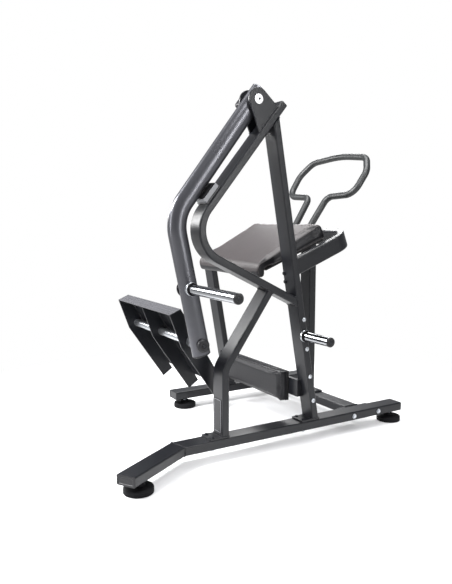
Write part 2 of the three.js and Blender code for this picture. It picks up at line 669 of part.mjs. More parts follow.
function column() {
  const start = BEAM_TOP + PLATE_T + GAP;
  const tube = extrude(tubeSection(COLUMN.t, COLUMN.w), COLUMN.top - start);
  add("column", tube, FRAME, { x: COLUMN.x, z: start });
  const plate = extrude(roundedRect(112, BEAM.w + 24, 6), PLATE_T - GAP);
  add("column_base_plate", plate, FRAME, { x: 767, z: BEAM_TOP + GAP });
  // Wedge between the column's rear face and the leaning front face of the rail.
  const face = COLUMN.x - COLUMN.t / 2 - GAP;
  const frontAt = (z) => {
    const axisZ = railAxisZ(RAIL.frontX);
    return RAIL.frontX + (RAIL.t / 2 + GAP) / slopeCos - (z - axisZ) * Math.tan(rad(SLOPE));
  };
  const low = 1082;
  const high = COLUMN.top - 4;
  const wedge = outline([[frontAt(low), low], [face, low], [face, high], [frontAt(high), high]]);
  add("rail_wedge", slab(wedge, -40, 40), FRAME);
}

function handle() {
  const half = [[-58, -74], [172, -88], [186, -312], [350, -322], [455, -255]];
  const mirrored = half.map(([s, y]) => [s, -y]).reverse();
  const corners = [...half, [488, 0], ...mirrored];
  const points = corners.map(([s, y]) => new THREE.Vector3(s, y, 0));
  const radii = [50, 75, 100, 90, 800, 90, 100, 75, 50];
  const section = new THREE.Shape().absarc(0, 0, HANDLE.radius, 0, Math.PI * 2);
  section.holes.push(new THREE.Path().absarc(0, 0, HANDLE.radius - 2.5, 0, Math.PI * 2, true));
  const tube = sweep(section, new BentRoute(points, radii, 16), 7);
  add("handle", tube, GRIP, { x: HANDLE.x, z: HANDLE.z, ry: -HANDLE.rise });
}

// ---- pads ----
// Local frame of the sloped pad: u forward along the slope, v up off it, from the pad's top front.
function slopeFrame() {
  const frame = new THREE.Group();
  frame.position.set(PAD.frontX, 0, PAD.frontZ);
  frame.rotation.y = rad(-SLOPE);
  machine.add(frame);
  return frame;
}

function upperPad() {
  const frame = slopeFrame();
  const { half, length, thick, roll } = PAD;
  const { front, rear } = PAD_WEDGE;
  const shoulder = 24;
  const crest = 44;
  const shape = new THREE.Shape();
  shape.moveTo(0, -thick + 8);
  shape.absarc(-shoulder, front - shoulder, shoulder, 0, Math.PI / 2, false);
  shape.absarc(-length + crest, -rear - crest, crest, Math.PI / 2, Math.PI, false);
  shape.absarc(-length + roll, -thick - rear - 4, roll, Math.PI, Math.PI * 2, false);
  shape.lineTo(-length + 2 * roll, -thick);
  shape.lineTo(-8, -thick);
  shape.closePath();
  add("upper_pad", slab(shape, -half, half, 5), LEATHER, {}, frame);
  const boardTop = -thick - GAP;
  const boardRear = -length + 2 * roll + 8;
  const board = box(boardRear, -18, -half + 22, half - 22, boardTop - BOARD_T, boardTop);
  add("upper_pad_board", board, BOARD, {}, frame);
  const armTop = boardTop - BOARD_T - GAP;
  const railRear =
    (RAIL.frontX - PAD.frontX) * slopeCos + (railAxisZ(RAIL.frontX) - PAD.frontZ) * slopeSin;
  const armFront = railRear - RAIL.t / 2 - GAP;
  const arm = extrude(tubeSection(40, 80, 6), armFront + PAD.arm).rotateY(Math.PI / 2);
  add("pad_arm", arm.translate(-PAD.arm, 0, armTop - 20), FRAME, {}, frame);
}

function shinPad() {
  const { rear, thick, half, low, high } = SHIN;
  const section = roundedRect(thick, high - low, 12);
  const cushion = slab(section, -half, half, 4);
  cushion.translate(rear + thick / 2, 0, (low + high) / 2);
  add("shin_pad", cushion, SHIN_LEATHER);
  const back = rear + thick + GAP;
  const board = box(back, back + BOARD_T, -half + 6, half - 6, low + 8, high - 8);
  add("shin_pad_board", board, BOARD);
  const start = back + BOARD_T + GAP;
  const face = (z) => postAxisX(z) - POST.t / 2 / Math.cos(rad(POST.lean)) - GAP;
  const { bottom, top, reach, lap } = BRACKET;
  const bracket = outline([
    [start, bottom], [face(bottom), bottom], [face(top), top], [start, top],
  ]);
  for (const [side, y0, y1] of [["near", -reach, lap - half], ["far", half - lap, reach]]) {
    add(`shin_pad_bracket_${side}`, slab(bracket, y0, y1), FRAME);
  }
}

base();
feet();
posts();
rearLeg();
loopFrame();
pivot();
bumper();
lever();
weightHorn();
storageHorn();
footPlate();
rail();
column();
handle();
upperPad();
shinPad();

machine.position.set(ORIGIN_SHIFT.x, ORIGIN_SHIFT.y, 0);

export default machine;
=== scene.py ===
"""Plate-loaded rear kick machine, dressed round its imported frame."""
import json
import math

import bmesh
import bpy
from mathutils import Matrix, Vector
from mathutils.bvhtree import BVHTree


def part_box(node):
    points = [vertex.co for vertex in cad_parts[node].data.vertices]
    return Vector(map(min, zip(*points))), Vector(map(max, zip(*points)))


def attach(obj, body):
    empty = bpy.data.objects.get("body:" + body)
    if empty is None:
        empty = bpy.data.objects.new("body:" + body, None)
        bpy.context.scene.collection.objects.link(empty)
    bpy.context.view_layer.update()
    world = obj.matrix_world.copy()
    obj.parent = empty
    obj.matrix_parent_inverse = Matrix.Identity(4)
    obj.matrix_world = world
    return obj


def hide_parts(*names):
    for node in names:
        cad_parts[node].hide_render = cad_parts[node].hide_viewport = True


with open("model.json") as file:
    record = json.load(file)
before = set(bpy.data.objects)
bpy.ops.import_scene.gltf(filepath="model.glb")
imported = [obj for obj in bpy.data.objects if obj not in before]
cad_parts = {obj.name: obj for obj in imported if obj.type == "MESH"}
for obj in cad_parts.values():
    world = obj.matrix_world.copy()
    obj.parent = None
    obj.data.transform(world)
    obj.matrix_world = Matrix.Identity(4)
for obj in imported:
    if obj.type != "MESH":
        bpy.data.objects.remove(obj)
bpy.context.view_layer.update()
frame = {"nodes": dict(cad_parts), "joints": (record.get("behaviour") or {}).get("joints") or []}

bl_info = {
    "name": "Rear Kick Machine",
    "version": (1, 0, 0),
    "blender": (4, 5, 0),
    "location": "View3D > Sidebar > Rear Kick",
    "description": "Builds the visible pieces of a plate-loaded rear kick machine round its frame",
    "category": "Add Mesh",
}

# ---- places and sizes, in millimetres from the machine's centre plane ----
MM = 0.001
PIVOT = Vector(frame["joints"][0]["pos_m"])
PIVOT_X, PIVOT_Z = 33.0, PIVOT.z / MM
SHIFT_X = PIVOT.x - PIVOT_X * MM


def middle(node):
    low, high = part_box(node)
    return (low + high) / 2


CENTRE_Y = middle("column").y


def at(x, y, z):
    """A point of the frame, from millimetres forward, to the far side and up."""
    return Vector((x * MM + SHIFT_X, y * MM + CENTRE_Y, z * MM))


SIDE = (middle("far_post").y - middle("near_post").y) / 2 / MM
BEAM_LOW, BEAM_TOP = (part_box("near_base_beam")[i].z / MM for i in (0, 1))
BEAM_MID = (BEAM_LOW + BEAM_TOP) / 2
BEAM_W, BEAM_H, POST_T, CORNER = 100, 50, 40, 8
FRONT_X = (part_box("far_base_beam")[1].x - SHIFT_X) / MM
FAR_REAR_X = (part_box("far_base_beam")[0].x - SHIFT_X) / MM
BEND_X, OUT_TURN, OUT_LENGTH = -403, 31.5, 424
PLATE = 10
LEAN = math.radians(10)
POST_X = 424
LOOP_RISE, LOOP_FALL = math.radians(50.5), math.radians(26.5)
LOOP_CORNER = (-374.6, 1109.8)
LOOP_UPPER, LOOP_RADIUS = 884, 160
LEG_X, LEG_LEAN, KNEE_Z, LEG_RADIUS = -155, math.radians(35.2), 464, 110
LEVER_A, LEVER_B, LEVER_OVER, LEVER_RADIUS = 49, 30, 60, 200
LEVER_UP, LEVER_LOW = math.radians(37.8), math.radians(12)
LEVER_CORNER_Z, LEVER_END_Z, SHAFT_Z, HORN_Z = 1229, 552, 600, 883
STORE_Z = middle("storage_horn").z / MM
HORN_TIP = (CENTRE_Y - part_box("weight_horn_end_cap")[0].y) / MM
STORE_TIP = (CENTRE_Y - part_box("storage_horn_end_cap")[0].y) / MM
HORN_R, COLLAR_R = 25, 33
SLOPE = math.radians(21.5)
RAIL_W, RAIL_T, RAIL_RADIUS, RAIL_FRONT = 90, 40, 100, 682
RAIL_REF = (407, 1003.5)
COLUMN_X, COLUMN_TOP = 743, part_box("column")[1].z / MM
HANDLE_R, HANDLE_RISE, HANDLE_FOOT = 20, math.radians(55.8), (717, 1207)
PAD_HALF, PAD_LENGTH, PAD_THICK, PAD_FRONT, PAD_ROLL = 337, 508, 60, (588, 1166), 30
WEDGE_FRONT, WEDGE_REAR, PAD_CREST = 34, 12, 44
SHIN = {"rear": 283, "thick": 48, "half": 352, "low": 194, "high": 377}
TREAD_HALF, TREAD_T = 345, 4
TREAD_REAR, TREAD_TOP, TREAD_FOOT = (-394, 744), (-332, 770), (-67, 331)
RIB_KINK, RIB_REAR, RIB_FRONT, RIB_T = (-330, 572), (-109, 253), (-46, 296), 6
ACROSS = Vector((0, 1, 0))
UP = Vector((0, 0, 1))


def post_x(z):
    """x of the posts' centre line at a height."""
    return POST_X - math.tan(LEAN) * (z - BEAM_TOP)


def rail_z(x):
    return RAIL_REF[1] + (x - RAIL_REF[0]) * math.tan(SLOPE)


def lever_corner_x():
    return PIVOT_X - (PIVOT_Z - LEVER_CORNER_Z) * math.tan(LEVER_UP)


def lever_x(z):
    """x of the lever's lower run at a height."""
    return lever_corner_x() + (LEVER_CORNER_Z - z) * math.tan(LEVER_LOW)


def in_plane(angle):
    """A direction in the side plane, from an angle above the forward axis."""
    return Vector((math.cos(angle), 0, math.sin(angle)))


# ---- finishes ----
def linear(code):
    """An sRGB hex colour as linear RGBA."""
    parts = [int(code[i:i + 2], 16) / 255 for i in (1, 3, 5)]
    return [c / 12.92 if c <= 0.04045 else ((c + 0.055) / 1.055) ** 2.4 for c in parts] + [1.0]


def add_node(tree, kind, settings=None, **links):
    """Adds a node: settings are its values by attribute or socket name, links its inputs."""
    made = tree.nodes.new(kind)
    for name, value in (settings or {}).items():
        if hasattr(made, name):
            setattr(made, name, value)
        else:
            made.inputs[name].default_value = value
    for name, source in links.items():
        tree.links.new(source, made.inputs[name.replace("_", " ")])
    return made


def finish_of(name, colour, shade, roughness, metallic=0.0, grain_mm=2.0, bump=0.05,
              cells=False, spread=0.06, cloud_mm=140.0, extra=None):
    """A surface whose colour and gloss wander a little and whose fine relief has a size in mm."""
    if name in bpy.data.materials:
        return bpy.data.materials[name]
    material = bpy.data.materials.new(name)
    material.use_nodes = True
    tree = material.node_tree
    tree.nodes.clear()
    place = add_node(tree, "ShaderNodeTexCoord").outputs["Object"]
    cloud = add_node(tree, "ShaderNodeTexNoise",
                     {"Scale": 1000 / cloud_mm, "Detail": 3.0}, Vector=place)
    mix = add_node(tree, "ShaderNodeMix", {"data_type": "RGBA"})
    mix.inputs[6].default_value = linear(colour) if isinstance(colour, str) else (*colour, 1)
    mix.inputs[7].default_value = linear(shade)
    tree.links.new(cloud.outputs["Fac"], mix.inputs[0])
    if cells:
        grain = add_node(tree, "ShaderNodeTexVoronoi", {"Scale": 1000 / grain_mm}, Vector=place)
        relief = grain.outputs["Distance"]
    else:
        grain = add_node(tree, "ShaderNodeTexNoise",
                         {"Scale": 1000 / grain_mm, "Detail": 2.0}, Vector=place)
        relief = grain.outputs["Fac"]
    gloss = add_node(tree, "ShaderNodeMapRange",
                     {"To Min": roughness - spread, "To Max": roughness + spread},
                     Value=cloud.outputs["Fac"])
    bumped = add_node(tree, "ShaderNodeBump",
                      {"Strength": 1.0, "Distance": bump * MM}, Height=relief)
    shader = add_node(tree, "ShaderNodeBsdfPrincipled", {"Metallic": metallic, **(extra or {})},
                      Base_Color=mix.outputs[2], Roughness=gloss.outputs["Result"],
                      Normal=bumped.outputs["Normal"])
    add_node(tree, "ShaderNodeOutputMaterial", {}, Surface=shader.outputs["BSDF"])
    return material


def frame_powder_coat(look):
    """Polyester powder coat, sprayed and baked: satin black with a fine orange peel."""
    return finish_of("polyester_powder_coat_black", look.frame_colour, "#17181c", 0.33,
                     grain_mm=1.6, bump=0.05, extra={"Specular IOR Level": 0.34})


def arm_powder_coat(look):
    """Metallic powder coat: mica flakes give a graphite sheen that follows the tube's curve."""
    return finish_of("metallic_powder_coat_graphite", look.arm_colour, "#48494d", 0.29, 0.78,
                     grain_mm=3.0, bump=0.012, extra={"Coat Weight": 0.25, "Coat Roughness": 0.25})


def chrome_plate(look):
    """Chrome plated steel, polished: near mirror with faint turning marks."""
    return finish_of("chrome_plate_polished", "#9c9ea1", "#8c8e92", 0.16, 1.0,
                     grain_mm=3.0, bump=0.01, spread=0.04)


def zinc_plate(look):
    """Zinc plated steel, barrel plated: bright grey and slightly cloudy."""
    return finish_of("zinc_plate_bright", "#cdd0d3", "#aeb2b8", 0.30, 1.0,
                     grain_mm=1.5, bump=0.03)


def zinc_black(look):
    """Zinc plated steel, black passivated: near black with a soft metal glint."""
    return finish_of("zinc_black_passivated", "#3a3b3e", "#2c2d30", 0.36, 0.9, grain_mm=1.5,
                     bump=0.03)


def anodised_aluminium(look):
    """Aluminium, bead blasted and anodised: pale, even and satin."""
    return finish_of("anodised_aluminium_blasted", "#f2f2f3", "#e6e6e8", 0.42, 0.35,
                     grain_mm=1.0, bump=0.02)


def rubber_moulded(look):
    """Black rubber, compression moulded: dull, with a fine pitted skin."""
    return finish_of("rubber_moulded_black", "#0d0d0f", "#141416", 0.68, grain_mm=1.5,
                     bump=0.12, extra={"Specular IOR Level": 0.12})


def plastic_moulded(look):
    """Polyethylene, injection moulded: soft sheen over a spark-eroded grain."""
    return finish_of("polyethylene_moulded_black", "#121215", "#18181b", 0.42,
                     grain_mm=1.2, bump=0.06, extra={"Specular IOR Level": 0.35})


def grey_polymer(look):
    """Polyurethane, cast: even light grey with a dry surface."""
    return finish_of("polyurethane_cast_grey", look.block_colour, "#7a7b7f", 0.55,
                     grain_mm=2.5, bump=0.05)


def grip_coat(look):
    """Textured powder coat on the handle: dark grey, coarse enough to hold."""
    return finish_of("textured_powder_coat_grey", look.grip_colour, "#1a1c1d", 0.45,
                     grain_mm=1.8, bump=0.16)


def tread_coat(look):
    """Powder coat with grit in it, baked on the foot plate: mottled grey and rough. The grit is
    drawn at 7 mm, coarser than real, so that it shows."""
    return finish_of("gritted_powder_coat_grey", "#18181b", "#525257", 0.6, grain_mm=2.4,
                     bump=0.35, cloud_mm=7.0)


def polyester_thread(look):
    """Polyester thread, spun and bonded: dark grey with a dry glint."""
    return finish_of("polyester_thread_grey", "#4a4849", "#3e3c3d", 0.6, grain_mm=0.8, bump=0.05)


def pad_leather(look):
    """Polyurethane leather, embossed: pebbled grain of small rounded cells, drawn a bit coarse."""
    return finish_of("embossed_pu_leather_grey", look.pad_colour, "#353132", 0.50, grain_mm=3.2,
                     bump=0.22, cells=True, extra={"Specular IOR Level": 0.42})


def shin_leather(look):
    """The same embossed leather in black."""
    return finish_of("embossed_pu_leather_black", look.shin_colour, "#1a1a1d", 0.42, grain_mm=3.2,
                     bump=0.2, cells=True, extra={"Specular IOR Level": 0.3})


def painted_ply(look):
    """Birch plywood, painted black: flat and faintly fibrous."""
    return finish_of("plywood_painted_black", "#161617", "#202021", 0.7, grain_mm=4.0, bump=0.1)


def stripe_ink(look):
    """Screen printed ink: thin, flat, light grey."""
    return finish_of("screen_ink_grey", "#9a9ca1", "#8d8f94", 0.5, grain_mm=1.0, bump=0.01)


def studio_floor(look):
    """Painted board, rolled: even and matt, and washed out by light away from the machine."""
    material = bpy.data.materials.new("painted_board_white")
    material.use_nodes = True
    tree = material.node_tree
    tree.nodes.clear()
    place = add_node(tree, "ShaderNodeTexCoord").outputs["Object"]
    away = add_node(tree, "ShaderNodeVectorMath", {"operation": "LENGTH"})
    tree.links.new(place, away.inputs[0])
    wash = add_node(tree, "ShaderNodeMapRange",
                    {"interpolation_type": "SMOOTHSTEP", "From Min": 0.9, "From Max": 2.4,
                     "To Min": look.floor_wash, "To Max": 1.0}, Value=away.outputs["Value"])
    grain = add_node(tree, "ShaderNodeTexNoise", {"Scale": 1000 / 6, "Detail": 2.0},
                     Vector=place)
    bumped = add_node(tree, "ShaderNodeBump", {"Strength": 1.0, "Distance": 0.02 * MM},
                      Height=grain.outputs["Fac"])
    board = add_node(tree, "ShaderNodeBsdfPrincipled",
                     {"Base Color": linear("#f3f3f4"), "Roughness": 0.75},
                     Normal=bumped.outputs["Normal"])
    light = add_node(tree, "ShaderNodeEmission", {"Color": linear("#ffffff"), "Strength": 1.0})
    mix = add_node(tree, "ShaderNodeMixShader", {}, Fac=wash.outputs["Result"])
    tree.links.new(board.outputs["BSDF"], mix.inputs[1])
    tree.links.new(light.outputs["Emission"], mix.inputs[2])
    add_node(tree, "ShaderNodeOutputMaterial", {}, Surface=mix.outputs[0])
    return material


# ---- shapes, each as (points, faces) in metres ----
def rounded_rect(w, h, r=CORNER, n=6):
    """Outline of a rounded rectangle, w along the first axis."""
    points = []
    for sx, sy, start in ((1, 1, 0), (-1, 1, 90), (-1, -1, 180), (1, -1, 270)):
        for k in range(n + 1):
            a = math.radians(start + 90 * k / n)
            points.append(((sx * (w / 2 - r) + r * math.cos(a)) * MM,
                           (sy * (h / 2 - r) + r * math.sin(a)) * MM))
    return points


def oval(a, b, n=64):
    turns = [2 * math.pi * k / n for k in range(n)]
    return [(a * math.cos(t) * MM, b * math.sin(t) * MM) for t in turns]


def route(corners, radii, step=3.0):
    """Stations (point, direction) along straight runs joined by round bends, radii in mm."""
    run = [(b - a).normalized() for a, b in zip(corners, corners[1:])]
    stations = [(corners[0], run[0])]
    for corner, into, out, bend in zip(corners[1:-1], run, run[1:], radii):
        radius = bend * MM
        turn = into.angle(out)
        side = (out - into * into.dot(out)).normalized()
        centre = corner - into * radius * math.tan(turn / 2) + side * radius
        count = max(3, math.ceil(math.degrees(turn) / step))
        for k in range(count + 1):
            a = turn * k / count
            stations.append((centre - side * radius * math.cos(a) + into * radius * math.sin(a),
                             into * math.cos(a) + side * math.sin(a)))
    stations.append((corners[-1], run[-1]))
    return stations


def ring_at(station, section, side, cut=None):
    """The section's points at a station, slid along the route onto the plane with normal cut."""
    point, along = station
    other = side.cross(along)
    ring = []
    for a, b in section:
        q = side * a + other * b
        if cut is not None:
            q = q - along * (q.dot(cut) / along.dot(cut))
        ring.append(point + q)
    return ring


def loft(rings, closed=False, capped=True):
    """Skins a row of rings with equal point counts."""
    n = len(rings[0])
    points = [p for ring in rings for p in ring]
    faces = []
    count = len(rings) if closed else len(rings) - 1
    for i in range(count):
        j = (i + 1) % len(rings)
        faces += [(i * n + k, i * n + (k + 1) % n, j * n + (k + 1) % n, j * n + k)
                  for k in range(n)]
    if capped and not closed:
        faces.append(tuple(range(n)))
        faces.append(tuple(reversed(range((len(rings) - 1) * n, len(rings) * n))))
    return points, faces


def sweep(stations, section, side, start=None, end=None):
    last = len(stations) - 1
    cuts = {0: start, last: end}
    return loft([ring_at(s, section, side, cuts.get(i)) for i, s in enumerate(stations)])


def turned(profile, foot, axis, segments=56):
    """A turned piece: profile is (radius, height) in mm, from foot along axis."""
    axis = axis.normalized()
    side = axis.orthogonal().normalized()
    other = axis.cross(side)
    turns = [2 * math.pi * k / segments for k in range(segments)]
    rings = [[foot + axis * h * MM + (side * math.cos(t) + other * math.sin(t)) * max(r, 0.01) * MM
              for t in turns] for r, h in profile]
    return loft(rings)


def plate(outline, y0, y1):
    """A flat plate in the side plane: outline in (x, z) mm, from y0 to y1."""
    return loft([[at(x, y, z) for x, z in outline] for y in (y0, y1)])


def slab(centre, size, turn=None, corner=4):
    """A block with rounded upright corners: size is length, width and height in mm."""
    section = rounded_rect(size[0], size[1], min(corner, min(size[:2]) / 2 - 0.1), 4)
    half = size[2] / 2 * MM
    turn = turn or Matrix.Identity(3)
    return loft([[centre + turn @ Vector((a, b, h)) for a, b in section] for h in (-half, half)])


def arc(cx, cz, r, start, end, n=16):
    """Points of an arc in (x, z), angles in degrees."""
    turns = [math.radians(start + (end - start) * k / n) for k in range(n + 1)]
    return [(cx + r * math.cos(t), cz + r * math.sin(t)) for t in turns]


def resample(loop, step):
    """A closed loop's points at an even spacing."""
    loop = list(loop) + [loop[0]]
    lengths = [0.0]
    for a, b in zip(loop, loop[1:]):
        lengths.append(lengths[-1] + (b - a).length)
    count = max(8, round(lengths[-1] / step))
    points, i = [], 0
    for k in range(count):
        s = lengths[-1] * k / count
        while lengths[i + 1] < s:
            i += 1
        span = max(lengths[i + 1] - lengths[i], 1e-9)
        points.append(loop[i].lerp(loop[i + 1], (s - lengths[i]) / span))
    return points


def bead(loop, radius=3.2, ripple=0.22, pitch=4.5):
    """A weld bead round a closed loop: overlapping ripples a few millimetres apart."""
    spine = resample(loop, 1.5 * MM)
    middle_point = sum(spine, Vector()) / len(spine)
    rings = []
    for i, p in enumerate(spine):
        along = (spine[(i + 1) % len(spine)] - spine[i - 1]).normalized()
        out = (p - middle_point).normalized()
        out = (out - along * out.dot(along)).normalized()
        over = along.cross(out)
        wave = 1 + ripple * math.cos(2 * math.pi * i * 1.5 / pitch)
        r = radius * MM * wave
        rings.append([p + (out * math.cos(t) + over * math.sin(t)) * r
                      for t in (2 * math.pi * k / 8 for k in range(8))])
    return loft(rings, closed=True)


def hex_head(foot, axis, across=17, height=7, washer=12):
    """A hexagon head with its chamfer, on a round washer."""
    axis = axis.normalized()
    side = axis.orthogonal().normalized()
    other = axis.cross(side)
    corner = across / math.sqrt(3)

    def ring(r, h, six):
        found = []
        for k in range(24):
            t = 2 * math.pi * k / 24
            wedge = (t % (math.pi / 3)) - math.pi / 6
            reach = min(r, across / 2 / math.cos(wedge)) if six else r
            found.append(foot + axis * h * MM
                         + (side * math.cos(t) + other * math.sin(t)) * reach * MM)
        return found

    head = loft([ring(corner, 2, True), ring(corner, height - 1.5, True),
                 ring(across / 2 * 0.97, height, True), ring(across / 2 * 0.7, height + 0.3, True)])
    disc = loft([ring(washer, 0, False), ring(washer, 1.6, False), ring(washer - 0.6, 2, False)])
    return [head, disc]


def dome_head(foot, axis, radius=9.5, height=6):
    """A button head screw with a hexagon socket, on a thin washer."""
    profile = [(radius + 3, 0), (radius + 3, 1.2), (radius + 2.6, 1.6), (radius, 1.6)]
    profile += [(radius * math.cos(a), 1.6 + height * math.sin(a))
                for a in (math.radians(d) for d in (15, 30, 45, 60))]
    profile += [(3.6, height + 1.3), (3.4, height - 1.6), (0, height - 1.8)]
    return [turned(profile, foot, axis, 24)]


# ---- objects ----
def joined(parts):
    points, faces = [], []
    for p, f in parts:
        faces += [tuple(i + len(points) for i in face) for face in f]
        points += p
    return points, faces


def make(name, parts, material, body, stands_for=(), slot=None, bevel=0.0, sharp=32):
    """Makes one object from its parts, rides it on a body and names the nodes it stands for."""
    points, faces = joined(parts)
    mesh = bpy.data.meshes.new(name)
    work = bmesh.new()
    corners = [work.verts.new(p) for p in points]
    for face in faces:
        try:
            work.faces.new([corners[i] for i in face])
        except ValueError:
            continue
    bmesh.ops.recalc_face_normals(work, faces=work.faces)
    work.to_mesh(mesh)
    work.free()
    return place(name, mesh, material, body, stands_for, slot, bevel, sharp)


def place(name, mesh, material, body, stands_for=(), slot=None, bevel=0.0, sharp=32):
    mesh.materials.clear()
    mesh.materials.append(material)
    mesh.polygons.foreach_set("use_smooth", [True] * len(mesh.polygons))
    mesh.set_sharp_from_angle(angle=math.radians(sharp))
    piece = bpy.data.objects.new(name, mesh)
    bpy.context.scene.collection.objects.link(piece)
    if bevel:
        edge = piece.modifiers.new("edge", "BEVEL")
        edge.width = bevel * MM
        edge.segments = 3
        edge.limit_method = "ANGLE"
        edge.angle_limit = math.radians(40)
        edge.use_clamp_overlap = True
    weigh = piece.modifiers.new("normals", "WEIGHTED_NORMAL")
    weigh.keep_sharp = True
    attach(piece, body)
    if stands_for:
        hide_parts(*stands_for)
    return piece


class Maker:
    """What every operator here shares: the settings and undo."""
    bl_options = {"REGISTER", "UNDO"}

    @property
    def look(self):
        return bpy.context.scene.rear_kick_look

    @property
    def size(self):
        return bpy.context.scene.rear_kick_size


# ---- stage ----
LIGHTS_AIM = Vector((0, 0, 0.9))
CAMERA_AT = (-1.8967, -2.9541, 1.2261)
CAMERA_TILT, CAMERA_YAW = 90 - 6.74, -30.89
CAMERA_LENS, CAMERA_SENSOR = 39.03, 36
FLOOR_HALF, FLOOR_DROP = 9, 0.0005


class REARKICK_OT_stage(Maker, bpy.types.Operator):
    """Pale floor, white surroundings, soft lights and the camera"""
    bl_idname = "rearkick.stage"
    bl_label = "Studio stage"

    def execute(self, context):
        work = bmesh.new()
        bmesh.ops.create_grid(work, x_segments=12, y_segments=12, size=FLOOR_HALF)
        mesh = bpy.data.meshes.new("studio_floor")
        work.to_mesh(mesh)
        work.free()
        mesh.materials.append(studio_floor(self.look))
        floor = bpy.data.objects.new("studio_floor", mesh)
        floor.location.z = -FLOOR_DROP
        context.scene.collection.objects.link(floor)

        world = bpy.data.worlds.new("studio_white")
        world.use_nodes = True
        tree = world.node_tree
        tree.nodes.clear()
        seen = add_node(tree, "ShaderNodeBackground", {"Color": linear("#ffffff")})
        soft = add_node(tree, "ShaderNodeBackground",
                        {"Color": linear("#f1f3f8"), "Strength": self.look.surround})
        path = add_node(tree, "ShaderNodeLightPath")
        mix = add_node(tree, "ShaderNodeMixShader", {}, Fac=path.outputs["Is Camera Ray"])
        tree.links.new(soft.outputs[0], mix.inputs[1])
        tree.links.new(seen.outputs[0], mix.inputs[2])
        add_node(tree, "ShaderNodeOutputWorld", {}, Surface=mix.outputs[0])
        context.scene.world = world
        context.scene.view_settings.view_transform = "Standard"

        power = self.look.key_power
        lamps = [
            ("key_softbox", (-3.4, 0.3, 3.6), (1.3, 1.3), power),
            ("top_softbox", (0.3, 0.2, 4.4), (2.4, 2.4), power * 0.42),
            ("left_strip", (-3.6, -1.6, 1.8), (0.4, 2.4), power * 0.13),
            ("right_strip", (1.6, -3.9, 2.0), (0.35, 2.6), power * 0.14),
            ("rim_softbox", (2.6, 3.2, 3.0), (1.4, 1.4), power * 0.2),
            ("front_softbox", (0.2, -1.6, 3.2), (1.0, 0.6), power * 0.07),
            ("back_left_softbox", (-2.4, 3.0, 2.4), (1.0, 1.4), power * 0.3),
        ]
        for name, spot, size, watts in lamps:
            lamp = bpy.data.lights.new(name, "AREA")
            lamp.shape = "RECTANGLE"
            lamp.size, lamp.size_y = size
            lamp.energy = watts
            holder = bpy.data.objects.new(name, lamp)
            holder.location = spot
            aim = LIGHTS_AIM - holder.location
            holder.rotation_euler = aim.to_track_quat("-Z", "Y").to_euler()
            context.scene.collection.objects.link(holder)

        view = bpy.data.cameras.new("camera")
        view.lens = CAMERA_LENS
        view.sensor_width = CAMERA_SENSOR
        view.clip_end = 60
        camera = bpy.data.objects.new("camera", view)
        camera.location = CAMERA_AT
        camera.rotation_euler = (math.radians(CAMERA_TILT), 0, math.radians(CAMERA_YAW))
        context.scene.collection.objects.link(camera)
        context.scene.camera = camera
        return {"FINISHED"}


# ---- base ----
def end_cap(centre, axis, side, w, h, depth=5.6):
    """A moulded tube cap: chamfered rim, flat face and a shallow sunk centre panel."""
    other = side.cross(axis)
    steps = [(0, 0), (0, 0.5), (-0.9, 0.82), (-2.6, 1.0), (-10, 1.0), (-11.4, 0.74)]
    rings = []
    for inset, share in steps:
        section = rounded_rect(w + 2 * inset, h + 2 * inset, max(CORNER + inset, 2.0), 5)
        rings.append([centre + side * a + other * b + axis * (share * depth * MM)
                      for a, b in section])
    return loft(rings)


OUT_ANGLE = math.radians(OUT_TURN)
OUT_DIR = Vector((math.cos(OUT_ANGLE), math.sin(OUT_ANGLE), 0))
OUT_SIDE = Vector((-math.sin(OUT_ANGLE), math.cos(OUT_ANGLE), 0))
BEND = at(BEND_X, -SIDE, BEAM_MID)
OUT_END = BEND - OUT_DIR * OUT_LENGTH * MM
FORWARD = Vector((1, 0, 0))
CAP_GAP = 0.4 * MM
PLATE_TOP = BEAM_TOP + PLATE + 0.4


